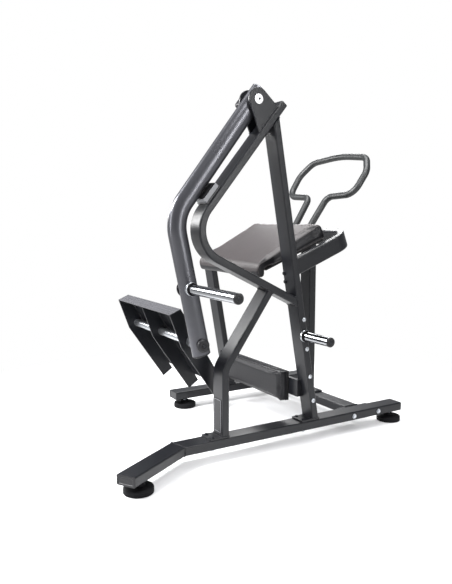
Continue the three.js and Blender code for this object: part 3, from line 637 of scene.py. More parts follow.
class REARKICK_OT_base(Maker, bpy.types.Operator):
    """The mitred near beam, the far beam, the cross beam and their end caps"""
    bl_idname = "rearkick.base"
    bl_label = "Base beams"

    def execute(self, context):
        coat = frame_powder_coat(self.look)
        section = rounded_rect(BEAM_W, BEAM_H)
        mitre = (OUT_DIR + FORWARD).normalized()
        front = at(FRONT_X, -SIDE, BEAM_MID)
        rear_ring = ring_at((OUT_END, OUT_DIR), section, OUT_SIDE)
        seam_ring = ring_at((BEND, FORWARD), section, ACROSS, mitre)
        front_ring = ring_at((front, FORWARD), section, ACROSS)
        make("base_beam_near", [loft([rear_ring, seam_ring, front_ring])], coat, "frame",
             ["near_base_beam", "near_base_outrigger"], "frame_powder_coat", sharp=20)
        far = [at(FAR_REAR_X, SIDE, BEAM_MID), at(FRONT_X, SIDE, BEAM_MID)]
        make("base_beam_far", [sweep(route(far, []), section, ACROSS)], coat, "frame",
             ["far_base_beam"], "frame_powder_coat")
        low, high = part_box("cross_beam")
        x = (low.x + high.x) / 2
        z = (low.z + high.z) / 2
        span = [Vector((x, low.y, z)), Vector((x, high.y, z))]
        make("base_cross_beam", [sweep(route(span, []), section, FORWARD)], coat, "frame",
             ["cross_beam"], "frame_powder_coat")

        welds = [bead(seam_ring, self.size.weld)]
        for end in (low.y, high.y):
            welds.append(bead(ring_at((Vector((x, end, z)), ACROSS), section, FORWARD),
                              self.size.weld))
        make("base_welds", welds, coat, "frame", slot="frame_powder_coat")

        plastic = plastic_moulded(self.look)
        caps = [
            ("near_rear_end_cap", OUT_END - OUT_DIR * CAP_GAP, -OUT_DIR, OUT_SIDE),
            ("near_front_end_cap", front + FORWARD * CAP_GAP, FORWARD, ACROSS),
            ("far_front_end_cap", far[1] + FORWARD * CAP_GAP, FORWARD, ACROSS),
            ("far_rear_end_cap", far[0] - FORWARD * CAP_GAP, -FORWARD, ACROSS),
        ]
        for node, centre, axis, side in caps:
            make(node.replace("end_cap", "beam_plug"),
                 [end_cap(centre, axis, side, BEAM_W, BEAM_H)], plastic, "frame", [node],
                 "black_plastic")
        return {"FINISHED"}


class REARKICK_OT_feet(Maker, bpy.types.Operator):
    """Four rubber feet on threaded stems with their lock nuts"""
    bl_idname = "rearkick.feet"
    bl_label = "Levelling feet"

    def execute(self, context):
        rubber = [(0, 0), (65, 0), (68.6, 1.1), (70, 4), (70, 8), (68.8, 9.4), (68.8, 10.6),
                  (70, 12), (70, 23), (69, 26.5), (66, 29.6), (61, 31.4), (36, 33.4),
                  (30, 35.6), (27, 39), (26, 42), (26, 43.6), (24, 44.4), (12, 44.4)]
        thread = [(11, 44.4)]
        while thread[-1][1] < BEAM_LOW - 3:
            height = thread[-1][1]
            thread += [(11, height + 0.7), (9.8, height + 1.25), (11, height + 1.8)]
        thread += [(9.8, BEAM_LOW - 0.5), (0, BEAM_LOW - 0.5)]
        for place_name in ("near_rear", "near_front", "far_front", "far_rear"):
            node = f"{place_name}_foot"
            foot = middle(node)
            foot.z = 0
            make(f"{place_name}_rubber_foot", [turned(rubber, foot, UP, 96)],
                 rubber_moulded(self.look), "frame", [node], "black_rubber")
            top = foot + UP * (BEAM_LOW - 1) * MM
            make(f"{place_name}_foot_stem",
                 [turned(thread, foot, UP, 32), *hex_head(top, -UP, 30, 9, 21)],
                 zinc_plate(self.look), "frame", slot="zinc_steel", bevel=0.4)
        return {"FINISHED"}


# ---- posts, leg and loop ----
POST_FACE = in_plane(LEAN)
LOOP_UP = in_plane(LOOP_RISE)
LOOP_CORNER_AT = at(LOOP_CORNER[0], -SIDE, LOOP_CORNER[1])
LOOP_TOP = LOOP_CORNER_AT + LOOP_UP * LOOP_UPPER * MM
LOOP_OUT = Vector((-math.sin(LOOP_RISE), 0, math.cos(LOOP_RISE)))
ARM_OUT = Vector((math.sin(LOOP_FALL), 0, math.cos(LOOP_FALL)))


def post_top():
    """Height where the near post's centre line meets the loop's underside."""
    tilt, lean = math.tan(LOOP_RISE), math.tan(LEAN)
    under = LOOP_CORNER[1] + (POST_X - LOOP_CORNER[0]) * tilt - POST_T / 2 / math.cos(LOOP_RISE)
    return (under + tilt * lean * BEAM_TOP) / (1 + tilt * lean) - 0.8


def loop_end():
    """Where the loop's lower arm meets the rear face of the near post."""
    lean, slope = math.tan(LEAN), -math.tan(LOOP_FALL)
    rear = post_x(LOOP_CORNER[1]) - POST_T / 2 / math.cos(LEAN)
    x = (rear + lean * slope * LOOP_CORNER[0] - 1) / (1 + lean * slope)
    return at(x, -SIDE, LOOP_CORNER[1] + (x - LOOP_CORNER[0]) * slope)


class REARKICK_OT_posts(Maker, bpy.types.Operator):
    """The two leaning posts and the bent rear leg with its blank panel"""
    bl_idname = "rearkick.posts"
    bl_label = "Posts and rear leg"

    def execute(self, context):
        coat = frame_powder_coat(self.look)
        section = rounded_rect(BEAM_W, POST_T)
        welds = []
        tops = {"near": (-SIDE, post_top(), LOOP_OUT),
                "far": (SIDE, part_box("far_post")[1].z / MM, UP)}
        for name, (y, top, cut) in tops.items():
            ends = [at(post_x(z), y, z) for z in (PLATE_TOP, top)]
            stations = route(ends, [])
            make(f"{name}_upright", [sweep(stations, section, ACROSS, UP, cut)], coat, "frame",
                 [f"{name}_post"], "frame_powder_coat")
            welds.append(bead(ring_at(stations[0], section, ACROSS, UP), self.size.weld))
            if name == "near":
                welds.append(bead(ring_at(stations[1], section, ACROSS, cut), self.size.weld))
            else:
                make("far_upright_plug",
                     [end_cap(ends[1] + UP * CAP_GAP, UP, ACROSS, BEAM_W, POST_T)],
                     plastic_moulded(self.look), "frame", ["far_post_cap"], "black_plastic")

        rise = Vector((math.sin(LEG_LEAN), 0, math.cos(LEG_LEAN)))
        knee = at(LEG_X, -SIDE, KNEE_Z)
        below = LOOP_CORNER_AT - ARM_OUT * (POST_T / 2 + 0.5) * MM
        reach = (below - knee).dot(ARM_OUT) / rise.dot(ARM_OUT)
        stations = route([at(LEG_X, -SIDE, PLATE_TOP), knee, knee + rise * reach],
                         [LEG_RADIUS])
        make("rear_leg", [sweep(stations, section, ACROSS, UP, ARM_OUT)], coat, "frame",
             ["near_rear_leg"], "frame_powder_coat")
        welds.append(bead(ring_at(stations[0], section, ACROSS, UP), self.size.weld))
        welds.append(bead(ring_at(stations[-1], section, ACROSS, ARM_OUT), self.size.weld))
        make("post_welds", welds, coat, "frame", slot="frame_powder_coat")

        low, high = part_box("rear_leg_panel")
        centre = (low + high) / 2
        face = Matrix(((0, 0, -1), (1, 0, 0), (0, -1, 0)))
        width, height = (high.y - low.y) / MM, (high.z - low.z) / MM
        make("leg_panel", [slab(centre + FORWARD * 0.3 * MM, (width, height, 1.9), face, 5)],
             plastic_moulded(self.look), "frame", ["rear_leg_panel"], "black_plastic", 0.5)
        front = Vector((low.x + 0.55 * MM, centre.y, centre.z))
        outer = rounded_rect(width - 9, height - 9, 4)
        inner = rounded_rect(width - 11.5, height - 11.5, 3)
        frames = [[front + face @ Vector((a, b, lift * MM)) for a, b in outline]
                  for outline, lift in ((outer, 0), (outer, 0.35), (inner, 0.35), (inner, 0))]
        make("leg_panel_border", [loft(frames, closed=True)], stripe_ink(self.look), "frame",
             slot="black_plastic")
        return {"FINISHED"}


class REARKICK_OT_loop(Maker, bpy.types.Operator):
    """The bent main tube that holds the pivot, its end cap and welds"""
    bl_idname = "rearkick.loop"
    bl_label = "Loop frame"

    def execute(self, context):
        coat = frame_powder_coat(self.look)
        section = rounded_rect(BEAM_W, POST_T)
        stations = route([LOOP_TOP, LOOP_CORNER_AT, loop_end()], [LOOP_RADIUS])
        make("main_loop", [sweep(stations, section, ACROSS, None, POST_FACE)], coat, "frame",
             ["loop_frame"], "frame_powder_coat")
        make("main_loop_plug",
             [end_cap(LOOP_TOP + LOOP_UP * CAP_GAP, LOOP_UP, ACROSS, BEAM_W, POST_T)],
             plastic_moulded(self.look), "frame", ["loop_top_cap"], "black_plastic")
        make("loop_welds",
             [bead(ring_at(stations[-1], section, ACROSS, POST_FACE), self.size.weld)],
             coat, "frame", slot="frame_powder_coat")
        return {"FINISHED"}


# ---- pivot ----
def on_upper_face(along, lift):
    """(x, z) in mm on the loop's upper face, measured along the upper arm from its corner."""
    out = POST_T / 2 + lift
    c, s = math.cos(LOOP_RISE), math.sin(LOOP_RISE)
    return (LOOP_CORNER[0] + c * along - s * out, LOOP_CORNER[1] + s * along + c * out)


LEVER_DIR_UP = Vector((math.sin(LEVER_UP), 0, math.cos(LEVER_UP)))
NEAR_FACE = -(SIDE + BEAM_W / 2 - 2)
FAR_FACE = -(SIDE - BEAM_W / 2 + 2)
EAR_FOOT, EAR_RADIUS, EAR_THICK = (677, 847), 56, 10


class REARKICK_OT_pivot(Maker, bpy.types.Operator):
    """The two pivot plates, the bright cap and the bearing cover"""
    bl_idname = "rearkick.pivot"
    bl_label = "Pivot bearing"

    def execute(self, context):
        coat = frame_powder_coat(self.look)
        low, high = (on_upper_face(along, 0.4) for along in EAR_FOOT)
        outline = [low, high] + arc(PIVOT_X, PIVOT_Z, EAR_RADIUS, 52, 196, 40)
        for name, y in (("near", NEAR_FACE), ("far", FAR_FACE - EAR_THICK)):
            make(f"{name}_pivot_ear", [plate(outline, y, y + EAR_THICK)], coat, "frame",
                 [f"{name}_pivot_plate"], "frame_powder_coat", 1.2)
        foot = [at(x, y, z) for y in (NEAR_FACE, FAR_FACE) for x, z in (low, high)]
        welds = []
        for a, b in ((foot[0], foot[1]), (foot[2], foot[3])):
            off = ACROSS * 1.5 * MM
            welds.append(bead([a - off, b - off, b + off, a + off], self.size.weld))
        make("pivot_welds", welds, coat, "frame", slot="frame_powder_coat")
        hub = at(PIVOT_X, NEAR_FACE, PIVOT_Z)
        cap = [(24, 0.4), (24, 2.2), (22.6, 3.8), (20.5, 4.8), (11, 5.2), (9.5, 4.4), (8.6, 4.4)]
        cap += [(8.6, 6.2), (7.4, 7), (4.2, 7), (4, 5), (0, 5)]
        make("pivot_cover", [turned(cap, hub, -ACROSS, 64)], anodised_aluminium(self.look),
             "frame", ["pivot_cap"], "zinc_steel")
        make("pivot_cover_screw", hex_head(hub - ACROSS * 5 * MM, -ACROSS, 11, 4, 7),
             zinc_black(self.look), "frame", slot="zinc_steel")
        far = at(PIVOT_X, FAR_FACE, PIVOT_Z)
        fore = ACROSS.cross(LEVER_DIR_UP)
        rings = []
        for inset, out in ((0, 0.4), (0, 46), (-1.2, 50), (-4.5, 54), (-9, 56), (-20, 56),
                           (-21.5, 54)):
            section = rounded_rect(92 + 2 * inset, 66 + 2 * inset, max(14 + inset, 3), 6)
            rings.append([far + LEVER_DIR_UP * a + fore * b + ACROSS * out * MM
                          for a, b in section])
        make("pivot_bearing_cover", [loft(rings)], plastic_moulded(self.look), "frame",
             ["pivot_end_housing"], "black_plastic")
        screws = []
        for along in (-34, 34):
            spot = far + LEVER_DIR_UP * along * MM + ACROSS * 55.8 * MM
            screws += dome_head(spot, ACROSS, 5, 3)
        make("pivot_cover_screws", screws, zinc_plate(self.look), "frame", slot="zinc_steel")
        return {"FINISHED"}


# ---- lever ----
def end_rings(station, steps, flip=1):
    """Oval rings that close a tube's end: steps are (share of the section, distance in mm)."""
    point, along = station
    return [ring_at((point + along * out * MM * flip, along),
                    oval(LEVER_B * share, LEVER_A * share), ACROSS) for share, out in steps]


class REARKICK_OT_lever(Maker, bpy.types.Operator):
    """The bent oval arm, its closed top and the plug in its lower end"""
    bl_idname = "rearkick.lever"
    bl_label = "Swing lever"

    def execute(self, context):
        top = at(PIVOT_X, -SIDE, PIVOT_Z) + LEVER_DIR_UP * LEVER_OVER * MM
        corner = at(lever_corner_x(), -SIDE, LEVER_CORNER_Z)
        foot = at(lever_x(LEVER_END_Z), -SIDE, LEVER_END_Z)
        stations = route([top, corner, foot], [LEVER_RADIUS], 2)
        crown = end_rings(stations[0], [(0.8, -9.2), (0.88, -7.9), (0.94, -6.2), (0.98, -4.3),
                                        (1, -2.8)])
        body = [ring_at(s, oval(LEVER_B, LEVER_A), ACROSS) for s in stations]
        make("swing_arm", [loft(crown + body)], arm_powder_coat(self.look), "lever",
             ["lever_tube", "lever_top_cap"], "arm_powder_coat")
        plug = end_rings(stations[-1], [(1, 0.4), (1, 3.4), (0.97, 5), (0.9, 7.6), (0.84, 9),
                                        (0.5, 9), (0.47, 7.4)])
        make("swing_arm_plug", [loft(plug)], plastic_moulded(self.look), "lever",
             ["lever_end_plug"], "black_plastic")
        return {"FINISHED"}


def horn_tip(foot, radius):
    """A black cap with a rolled rim and a sunk centre; foot is its inner face."""
    profile = [(radius + 0.5, 0.2), (radius + 0.5, 4.8), (radius - 0.4, 6.8), (radius - 2.4, 8)]
    profile += [(13, 8), (12, 6.2), (0, 6.2)]
    return turned(profile, foot, -ACROSS, 64)


class REARKICK_OT_horns(Maker, bpy.types.Operator):
    """The weight horn on the lever and the storage horn on the near post"""
    bl_idname = "rearkick.horns"
    bl_label = "Weight horns"

    def execute(self, context):
        chrome, rubber = chrome_plate(self.look), rubber_moulded(self.look)
        plastic, zinc = plastic_moulded(self.look), zinc_plate(self.look)
        horns = [
            ("weight_horn", "lever", lever_x(HORN_Z), HORN_Z, SIDE + LEVER_B - 9, HORN_TIP, 22),
            ("storage_horn", "frame", post_x(STORE_Z), STORE_Z, SIDE + BEAM_W / 2, STORE_TIP, 9),
        ]
        for name, body, x, z, face, tip, deep in horns:
            foot = at(x, -face, z)
            length = tip - 8 - face
            tube = [(HORN_R, deep - 4), (HORN_R, length - 1.2), (HORN_R - 1.2, length)]
            make(f"{name}_sleeve", [turned(tube, foot, -ACROSS, 72)], chrome, body, [name],
                 "chrome")
            flange = [(COLLAR_R, 0), (COLLAR_R, deep - 3), (COLLAR_R - 1.5, deep - 1),
                      (HORN_R - 1, deep - 0.6)]
            make(f"{name}_flange", [turned(flange, foot, -ACROSS, 72)], zinc, body,
                 slot="zinc_steel")
            collar = [(HORN_R - 1, deep - 0.6), (HORN_R + 5.5, deep - 0.6),
                      (HORN_R + 6.5, deep + 0.6), (HORN_R + 6.5, deep + 8),
                      (HORN_R + 4.6, deep + 11), (HORN_R - 1, deep + 11.4)]
            make(f"{name}_collar", [turned(collar, foot, -ACROSS, 72)], rubber, body,
                 slot="black_rubber")
            end = foot - ACROSS * length * MM
            make(f"{name}_tip", [horn_tip(end, HORN_R)], plastic, body, [f"{name}_end_cap"],
                 "black_plastic")
            bolt = end - ACROSS * 6.2 * MM
            head = [(8.5, 0), (8.5, 0.6), (6.6, 0.8), (6.2, 1.4), (4.6, 1.7), (2.6, 1.7),
                    (2.4, 0.6), (0, 0.6)]
            make(f"{name}_tip_screw", [turned(head, bolt, -ACROSS, 32)],
                 zinc_black(self.look), body, slot="zinc_steel")
        low = at(lever_x(HORN_Z), -SIDE + LEVER_B, HORN_Z)
        washer = [(46, 0.4), (46, 7), (44, 9.4), (30, 9.4), (24, 7), (0, 7)]
        make("weight_horn_backing", [turned(washer, low, ACROSS, 72)], plastic, "lever",
             ["weight_horn_washer"], "black_plastic")
        nut = low + ACROSS * 7 * MM
        make("weight_horn_nut", hex_head(nut, ACROSS, 24, 11, 17), zinc, "lever",
             slot="zinc_steel", bevel=0.4)
        return {"FINISHED"}


# ---- foot plate ----
FLANGE_DIR = Vector((TREAD_TOP[0] - TREAD_REAR[0], TREAD_TOP[1] - TREAD_REAR[1])).normalized()
TREAD_DIR = Vector((TREAD_FOOT[0] - TREAD_TOP[0], TREAD_FOOT[1] - TREAD_TOP[1])).normalized()
GRIT_T = 1.2
FLANGE_IN = Vector((FLANGE_DIR.y, -FLANGE_DIR.x))
TREAD_IN = Vector((TREAD_DIR.y, -TREAD_DIR.x))


def bent_corner(depth):
    """The plate's bend, depth mm inside its outer faces."""
    setback = math.tan(FLANGE_DIR.angle(TREAD_DIR) / 2)
    corner = Vector(TREAD_TOP) - FLANGE_DIR * setback * depth + FLANGE_IN * depth
    return tuple(corner)


def inside(point, direction, depth):
    return tuple(Vector(point) + direction * depth)


def lug(centre, u, v, n, turn, length, height):
    """One raised lens of a tread pattern."""
    c, s = math.cos(turn), math.sin(turn)
    a, b = u * c + v * s, v * c - u * s
    rings = []
    for share, lift in ((1, -0.4), (0.86, 0.6), (0.5, 1.0)):
        rings.append([centre + (a * math.cos(t) * length / 2 + b * math.sin(t) * length / 5)
                      * share * MM + n * lift * height * MM
                      for t in (2 * math.pi * k / 8 for k in range(8))])
    return loft(rings)


class REARKICK_OT_foot_plate(Maker, bpy.types.Operator):
    """The bent foot plate with its raised tread, three ribs and cross shaft"""
    bl_idname = "rearkick.foot_plate"
    bl_label = "Foot plate"

    def execute(self, context):
        coat = frame_powder_coat(self.look)
        skin = []
        for depth in (0, GRIT_T, TREAD_T):
            skin.append([inside(TREAD_REAR, FLANGE_IN, depth), bent_corner(depth),
                         inside(TREAD_FOOT, TREAD_IN, depth)])
        grit, steel = (outer + inner[::-1] for outer, inner in zip(skin, skin[1:]))
        make("foot_plate_grit", [plate(grit, -TREAD_HALF, TREAD_HALF)], tread_coat(self.look),
             "lever", slot="frame_powder_coat")
        make("foot_plate_sheet", [plate(steel, -TREAD_HALF, TREAD_HALF)], coat, "lever",
             ["foot_plate_tread"], "frame_powder_coat", 0.9)
        lugs = []
        pitch = self.size.tread_pitch
        for start, end in ((TREAD_TOP, TREAD_FOOT), (TREAD_REAR, TREAD_TOP)):
            run = Vector(end) - Vector(start)
            rows = int((run.length - 14) / pitch)
            flat = run.normalized()
            u = Vector((flat.x, 0, flat.y))
            n = ACROSS.cross(u)
            n = n if n.z > 0 else -n
            columns = int((2 * TREAD_HALF - 24) / pitch)
            for i in range(rows + 1):
                for j in range(columns + 1):
                    s = run.length / 2 + (i - rows / 2) * pitch
                    y = (j - columns / 2) * pitch
                    p = Vector(start) + flat * s
                    turn = math.pi / 4 if (i + j) % 2 else -math.pi / 4
                    lugs.append(lug(at(p.x, y, p.y), u, ACROSS, n, turn, pitch * 0.8,
                                    self.size.tread_height))
        make("foot_plate_lugs", lugs, tread_coat(self.look), "lever", slot="frame_powder_coat",
             sharp=60)

        depth = TREAD_T + 0.4
        rib = [RIB_KINK, RIB_REAR, inside(RIB_FRONT, TREAD_IN, depth),
               inside(TREAD_FOOT, TREAD_IN, depth), bent_corner(depth),
               inside(TREAD_REAR, FLANGE_IN, depth)]
        places = {"near": -TREAD_HALF, "middle": -RIB_T / 2, "far": TREAD_HALF - RIB_T}
        welds = []
        for name, y in places.items():
            make(f"foot_rib_{name}", [plate(rib, y, y + RIB_T)], coat, "lever",
                 [f"foot_plate_rib_{name}"], "frame_powder_coat", 1.0)
            for side in (y, y + RIB_T):
                if abs(side) < TREAD_HALF:
                    line = [at(x, side, z) for x, z in (rib[3], rib[4], rib[5])]
                    back = [p - ACROSS * 0.8 * MM for p in reversed(line)]
                    welds.append(bead(line + back, self.size.weld * 0.8))
        make("foot_plate_welds", welds, coat, "lever", slot="frame_powder_coat")

        x, z = lever_x(SHAFT_Z), SHAFT_Z
        face = -SIDE - LEVER_B - 4
        end = at(x, face, z)
        length = TREAD_HALF - 0.4 - face
        shaft = [(21, 0), (21, length - 1), (20, length)]
        make("foot_shaft", [turned(shaft, end, ACROSS, 64)], zinc_plate(self.look), "lever",
             ["foot_plate_shaft"], "chrome")
        collar = SIDE - LEVER_B - TREAD_HALF
        sleeve = [(21, 0), (27, 0), (28, 1), (28, collar - 3), (27, collar - 2), (21, collar - 2)]
        make("foot_shaft_sleeve", [turned(sleeve, at(x, -SIDE + LEVER_B - 1, z), ACROSS, 64)],
             zinc_plate(self.look), "lever", slot="zinc_steel")
        cap = [(34, 0.4), (34, 6), (32.5, 9), (27, 13), (24, 14), (12, 14), (11, 11.5), (0, 11.5)]
        make("foot_shaft_cover", [turned(cap, end, -ACROSS, 6 * 8)], plastic_moulded(self.look),
             "lever", ["foot_plate_shaft_cap"], "black_plastic")
        make("foot_shaft_bolt", hex_head(end - ACROSS * 11.5 * MM, -ACROSS, 15, 6, 9),
             zinc_black(self.look), "lever", slot="zinc_steel", bevel=0.4)
        rings = []
        for y in (-TREAD_HALF, -RIB_T / 2, RIB_T / 2, TREAD_HALF - RIB_T):
            circle = [at(x, y, z) + (FORWARD * math.cos(t) + UP * math.sin(t)) * 21.5 * MM
                      for t in (2 * math.pi * k / 32 for k in range(32))]
            rings.append(bead(circle, self.size.weld * 0.8))
        make("foot_shaft_welds", rings, coat, "lever", slot="frame_powder_coat")
        return {"FINISHED"}


# ---- rail, column and handle ----
SLOPE_U = in_plane(SLOPE)
SLOPE_V = Vector((-math.sin(SLOPE), 0, math.cos(SLOPE)))


class REARKICK_OT_rail(Maker, bpy.types.Operator):
    """The U shaped seat rail and the column that carries it"""
    bl_idname = "rearkick.rail"
    bl_label = "Seat rail and column"

    def execute(self, context):
        coat = frame_powder_coat(self.look)
        lean, k = math.tan(LEAN), math.tan(SLOPE)
        foot = POST_X + POST_T / 2 / math.cos(LEAN) + lean * BEAM_TOP
        x = (foot - lean * (RAIL_REF[1] - RAIL_REF[0] * k)) / (1 + lean * k) + 0.8
        length = (RAIL_FRONT - x) / math.cos(SLOPE) * MM
        near, far = at(x, -SIDE, rail_z(x)), at(x, SIDE, rail_z(x))
        corners = [near, near + SLOPE_U * length, far + SLOPE_U * length, far]
        stations = route(corners, [RAIL_RADIUS] * 2)
        section = rounded_rect(RAIL_W, RAIL_T)
        make("seat_rail_tube", [sweep(stations, section, SLOPE_V, POST_FACE, POST_FACE)], coat,
             "frame", ["seat_rail"], "frame_powder_coat")
        welds = [bead(ring_at(s, section, SLOPE_V, POST_FACE), self.size.weld)
                 for s in (stations[0], stations[-1])]

        ends = [at(COLUMN_X, 0, z) for z in (PLATE_TOP, COLUMN_TOP)]
        up_tube = rounded_rect(BEAM_W, BEAM_H)
        upright = route(ends, [])
        make("column_tube", [sweep(upright, up_tube, ACROSS)], coat, "frame", ["column"],
             "frame_powder_coat")
        welds.append(bead(ring_at(upright[0], up_tube, ACROSS), self.size.weld))
        make("rail_welds", welds, coat, "frame", slot="frame_powder_coat")
        return {"FINISHED"}


class REARKICK_OT_handle(Maker, bpy.types.Operator):
    """The bent handle bar in front of the pad"""
    bl_idname = "rearkick.handle"
    bl_label = "Handle bar"

    def execute(self, context):
        run = in_plane(HANDLE_RISE)
        normal = Vector((-math.sin(HANDLE_RISE), 0, math.cos(HANDLE_RISE)))
        half = [(-58, 74), (172, 88), (186, 312), (350, 322), (455, 255)]
        flat = [(s, -y) for s, y in half] + [(488, 0)] + [(s, y) for s, y in reversed(half)]
        corners = [at(HANDLE_FOOT[0], y, HANDLE_FOOT[1]) + run * s * MM for s, y in flat]
        stations = route(corners, [50, 75, 100, 90, 800, 90, 100, 75, 50], 3)
        make("handle_bar", [sweep(stations, oval(HANDLE_R, HANDLE_R, 40), normal)],
             grip_coat(self.look), "frame", ["handle"], "grip_coat")
        return {"FINISHED"}


# ---- pads ----
CLOTH_FRAMES = 20
# Faces that point this much sideways, or this little upward, take the black leather on the upper
# pad as painted shade on its sides and underside.
PAINTED_SHADE_SIDE, PAINTED_SHADE_UNDER = 0.6, 0.15


def surface_of(piece):
    """The piece's mesh as it stands with its modifiers."""
    graph = bpy.context.evaluated_depsgraph_get()
    return bpy.data.meshes.new_from_object(piece.evaluated_get(graph))


def swap_mesh(piece, mesh):
    material = piece.data.materials[0]
    piece.modifiers.clear()
    piece.data = mesh
    mesh.materials.clear()
    mesh.materials.append(material)


def puffed(piece, voxel, shrink, limit, held):
    """Fills a pad by cloth simulation: points for which held is true stay on their board."""
    remesh = piece.modifiers.new("skin", "REMESH")
    remesh.mode = "VOXEL"
    remesh.voxel_size = voxel * MM
    swap_mesh(piece, surface_of(piece))
    for _ in range(3):
        smooth = piece.modifiers.new("even", "SMOOTH")
        smooth.factor = 0.5
        smooth.iterations = 2
        swap_mesh(piece, surface_of(piece))
    skin = piece.data
    normals = [v.normal.copy() for v in skin.vertices]
    fixed = [v.index for v in skin.vertices if held(v.co)]
    keep = set(fixed)
    for v, normal in zip(skin.vertices, normals):
        if v.index not in keep:
            v.co -= normal * shrink * MM
    rest = [v.co.copy() for v in skin.vertices]
    group = piece.vertex_groups.new(name="board")
    group.add(fixed, 1.0, "REPLACE")
    cloth = piece.modifiers.new("fill", "CLOTH")
    setting = cloth.settings
    setting.quality = 5
    setting.mass = 0.3
    setting.tension_stiffness = 15
    setting.compression_stiffness = 15
    setting.shear_stiffness = 8
    setting.bending_stiffness = 6
    setting.use_pressure = True
    setting.uniform_pressure_force = 4
    setting.effector_weights.gravity = 0
    setting.vertex_group_mass = "board"
    cloth.point_cache.frame_start = 1
    cloth.point_cache.frame_end = CLOTH_FRAMES
    scene = bpy.context.scene
    for frame_number in range(1, CLOTH_FRAMES + 1):
        scene.frame_set(frame_number)
    filled = surface_of(piece)
    moved = [v.co.copy() for v in filled.vertices]
    scene.frame_set(1)
    piece.modifiers.clear()
    piece.vertex_groups.clear()
    for v, start, end in zip(skin.vertices, rest, moved):
        step = end - start
        if step.length > limit * MM:
            step *= limit * MM / step.length
        v.co = start + step
    soften = piece.modifiers.new("soften", "SMOOTH")
    soften.factor = 0.5
    soften.iterations = 4
    swap_mesh(piece, surface_of(piece))


def finish_pad(piece):
    piece.data.polygons.foreach_set("use_smooth", [True] * len(piece.data.polygons))
    smooth = piece.modifiers.new("subdivision", "SUBSURF")
    smooth.levels = smooth.render_levels = 1


def piping(piece, line, radius):
    """A welt laid on the pad's skin along a closed line of points."""
    skin = BVHTree.FromObject(piece, bpy.context.evaluated_depsgraph_get())
    spine = []
    for p in resample(line, 4 * MM):
        spot, normal, _, _ = skin.find_nearest(p)
        spine.append(spot - normal * radius * 0.25 * MM)
    for _ in range(3):
        spine = [(spine[i - 1] + p * 2 + spine[(i + 1) % len(spine)]) / 4
                 for i, p in enumerate(spine)]
    rings = []
    centre = sum(spine, Vector()) / len(spine)
    for i, p in enumerate(spine):
        along = (spine[(i + 1) % len(spine)] - spine[i - 1]).normalized()
        out = (p - centre).normalized()
        out = (out - along * out.dot(along)).normalized()
        over = along.cross(out)
        rings.append([p + (out * math.cos(t) + over * math.sin(t)) * radius * MM
                      for t in (2 * math.pi * k / 12 for k in range(12))])
    return loft(rings, closed=True)


def stitches(piece, line, pitch=8.0, length=5.2, radius=0.75):
    """A row of thread stitches sunk in the pad's skin along a closed line of points."""
    skin = BVHTree.FromObject(piece, bpy.context.evaluated_depsgraph_get())
    spine = resample(line, pitch * MM)
    parts = []
    for i, p in enumerate(spine):
        spot, normal, _, _ = skin.find_nearest(p)
        along = (spine[(i + 1) % len(spine)] - p).normalized()
        along = (along - normal * along.dot(normal)).normalized()
        side = normal.cross(along)
        rings = []
        for k, share in ((-0.5, 0.2), (-0.3, 1), (0.3, 1), (0.5, 0.2)):
            sink = normal * (0.3 if abs(k) < 0.4 else -0.5) * MM
            rings.append([spot + along * k * length * MM + sink
                          + (side * math.cos(t) + normal * math.sin(t)) * share * radius * MM
                          for t in (2 * math.pi * m / 6 for m in range(6))])
        parts.append(loft(rings))
    return parts


def on_pad(u, v, y):
    """A point in the sloped pad's own frame: u forward, v up off the slope, in mm."""
    return at(PAD_FRONT[0], y, PAD_FRONT[1]) + (SLOPE_U * u + SLOPE_V * v) * MM


def pad_profile(inset=0.0, crown=0.0):
    """The upper pad's side outline as (u, v): a rounded front, a rising top and a rolled rear."""
    shoulder = 26
    roll_v = -PAD_THICK - WEDGE_REAR - 4
    points = [(-inset, -PAD_THICK + 8 + inset)]
    points += arc(-shoulder, WEDGE_FRONT + crown * 0.5 - shoulder, shoulder - inset, 0, 90, 12)
    first = points[-1]
    rear = arc(-PAD_LENGTH + PAD_CREST, -WEDGE_REAR - PAD_CREST, PAD_CREST - inset, 90, 180, 16)
    last = rear[0]
    for k in range(1, 12):
        t = k / 12
        lift = crown * (0.5 * (1 - t) + 1.6 * t * (1 - t))
        u, v = first[0] + (last[0] - first[0]) * t, first[1] + (last[1] - first[1]) * t
        points.append((u, v - crown * 0.5 * (1 - t) + lift))
    points += rear
    points += arc(-PAD_LENGTH + PAD_ROLL, roll_v, PAD_ROLL - inset, 180, 360, 26)
    points += [(-PAD_LENGTH + 2 * PAD_ROLL + 2, -PAD_THICK + inset),
               (-8 - inset, -PAD_THICK + inset)]
    return points


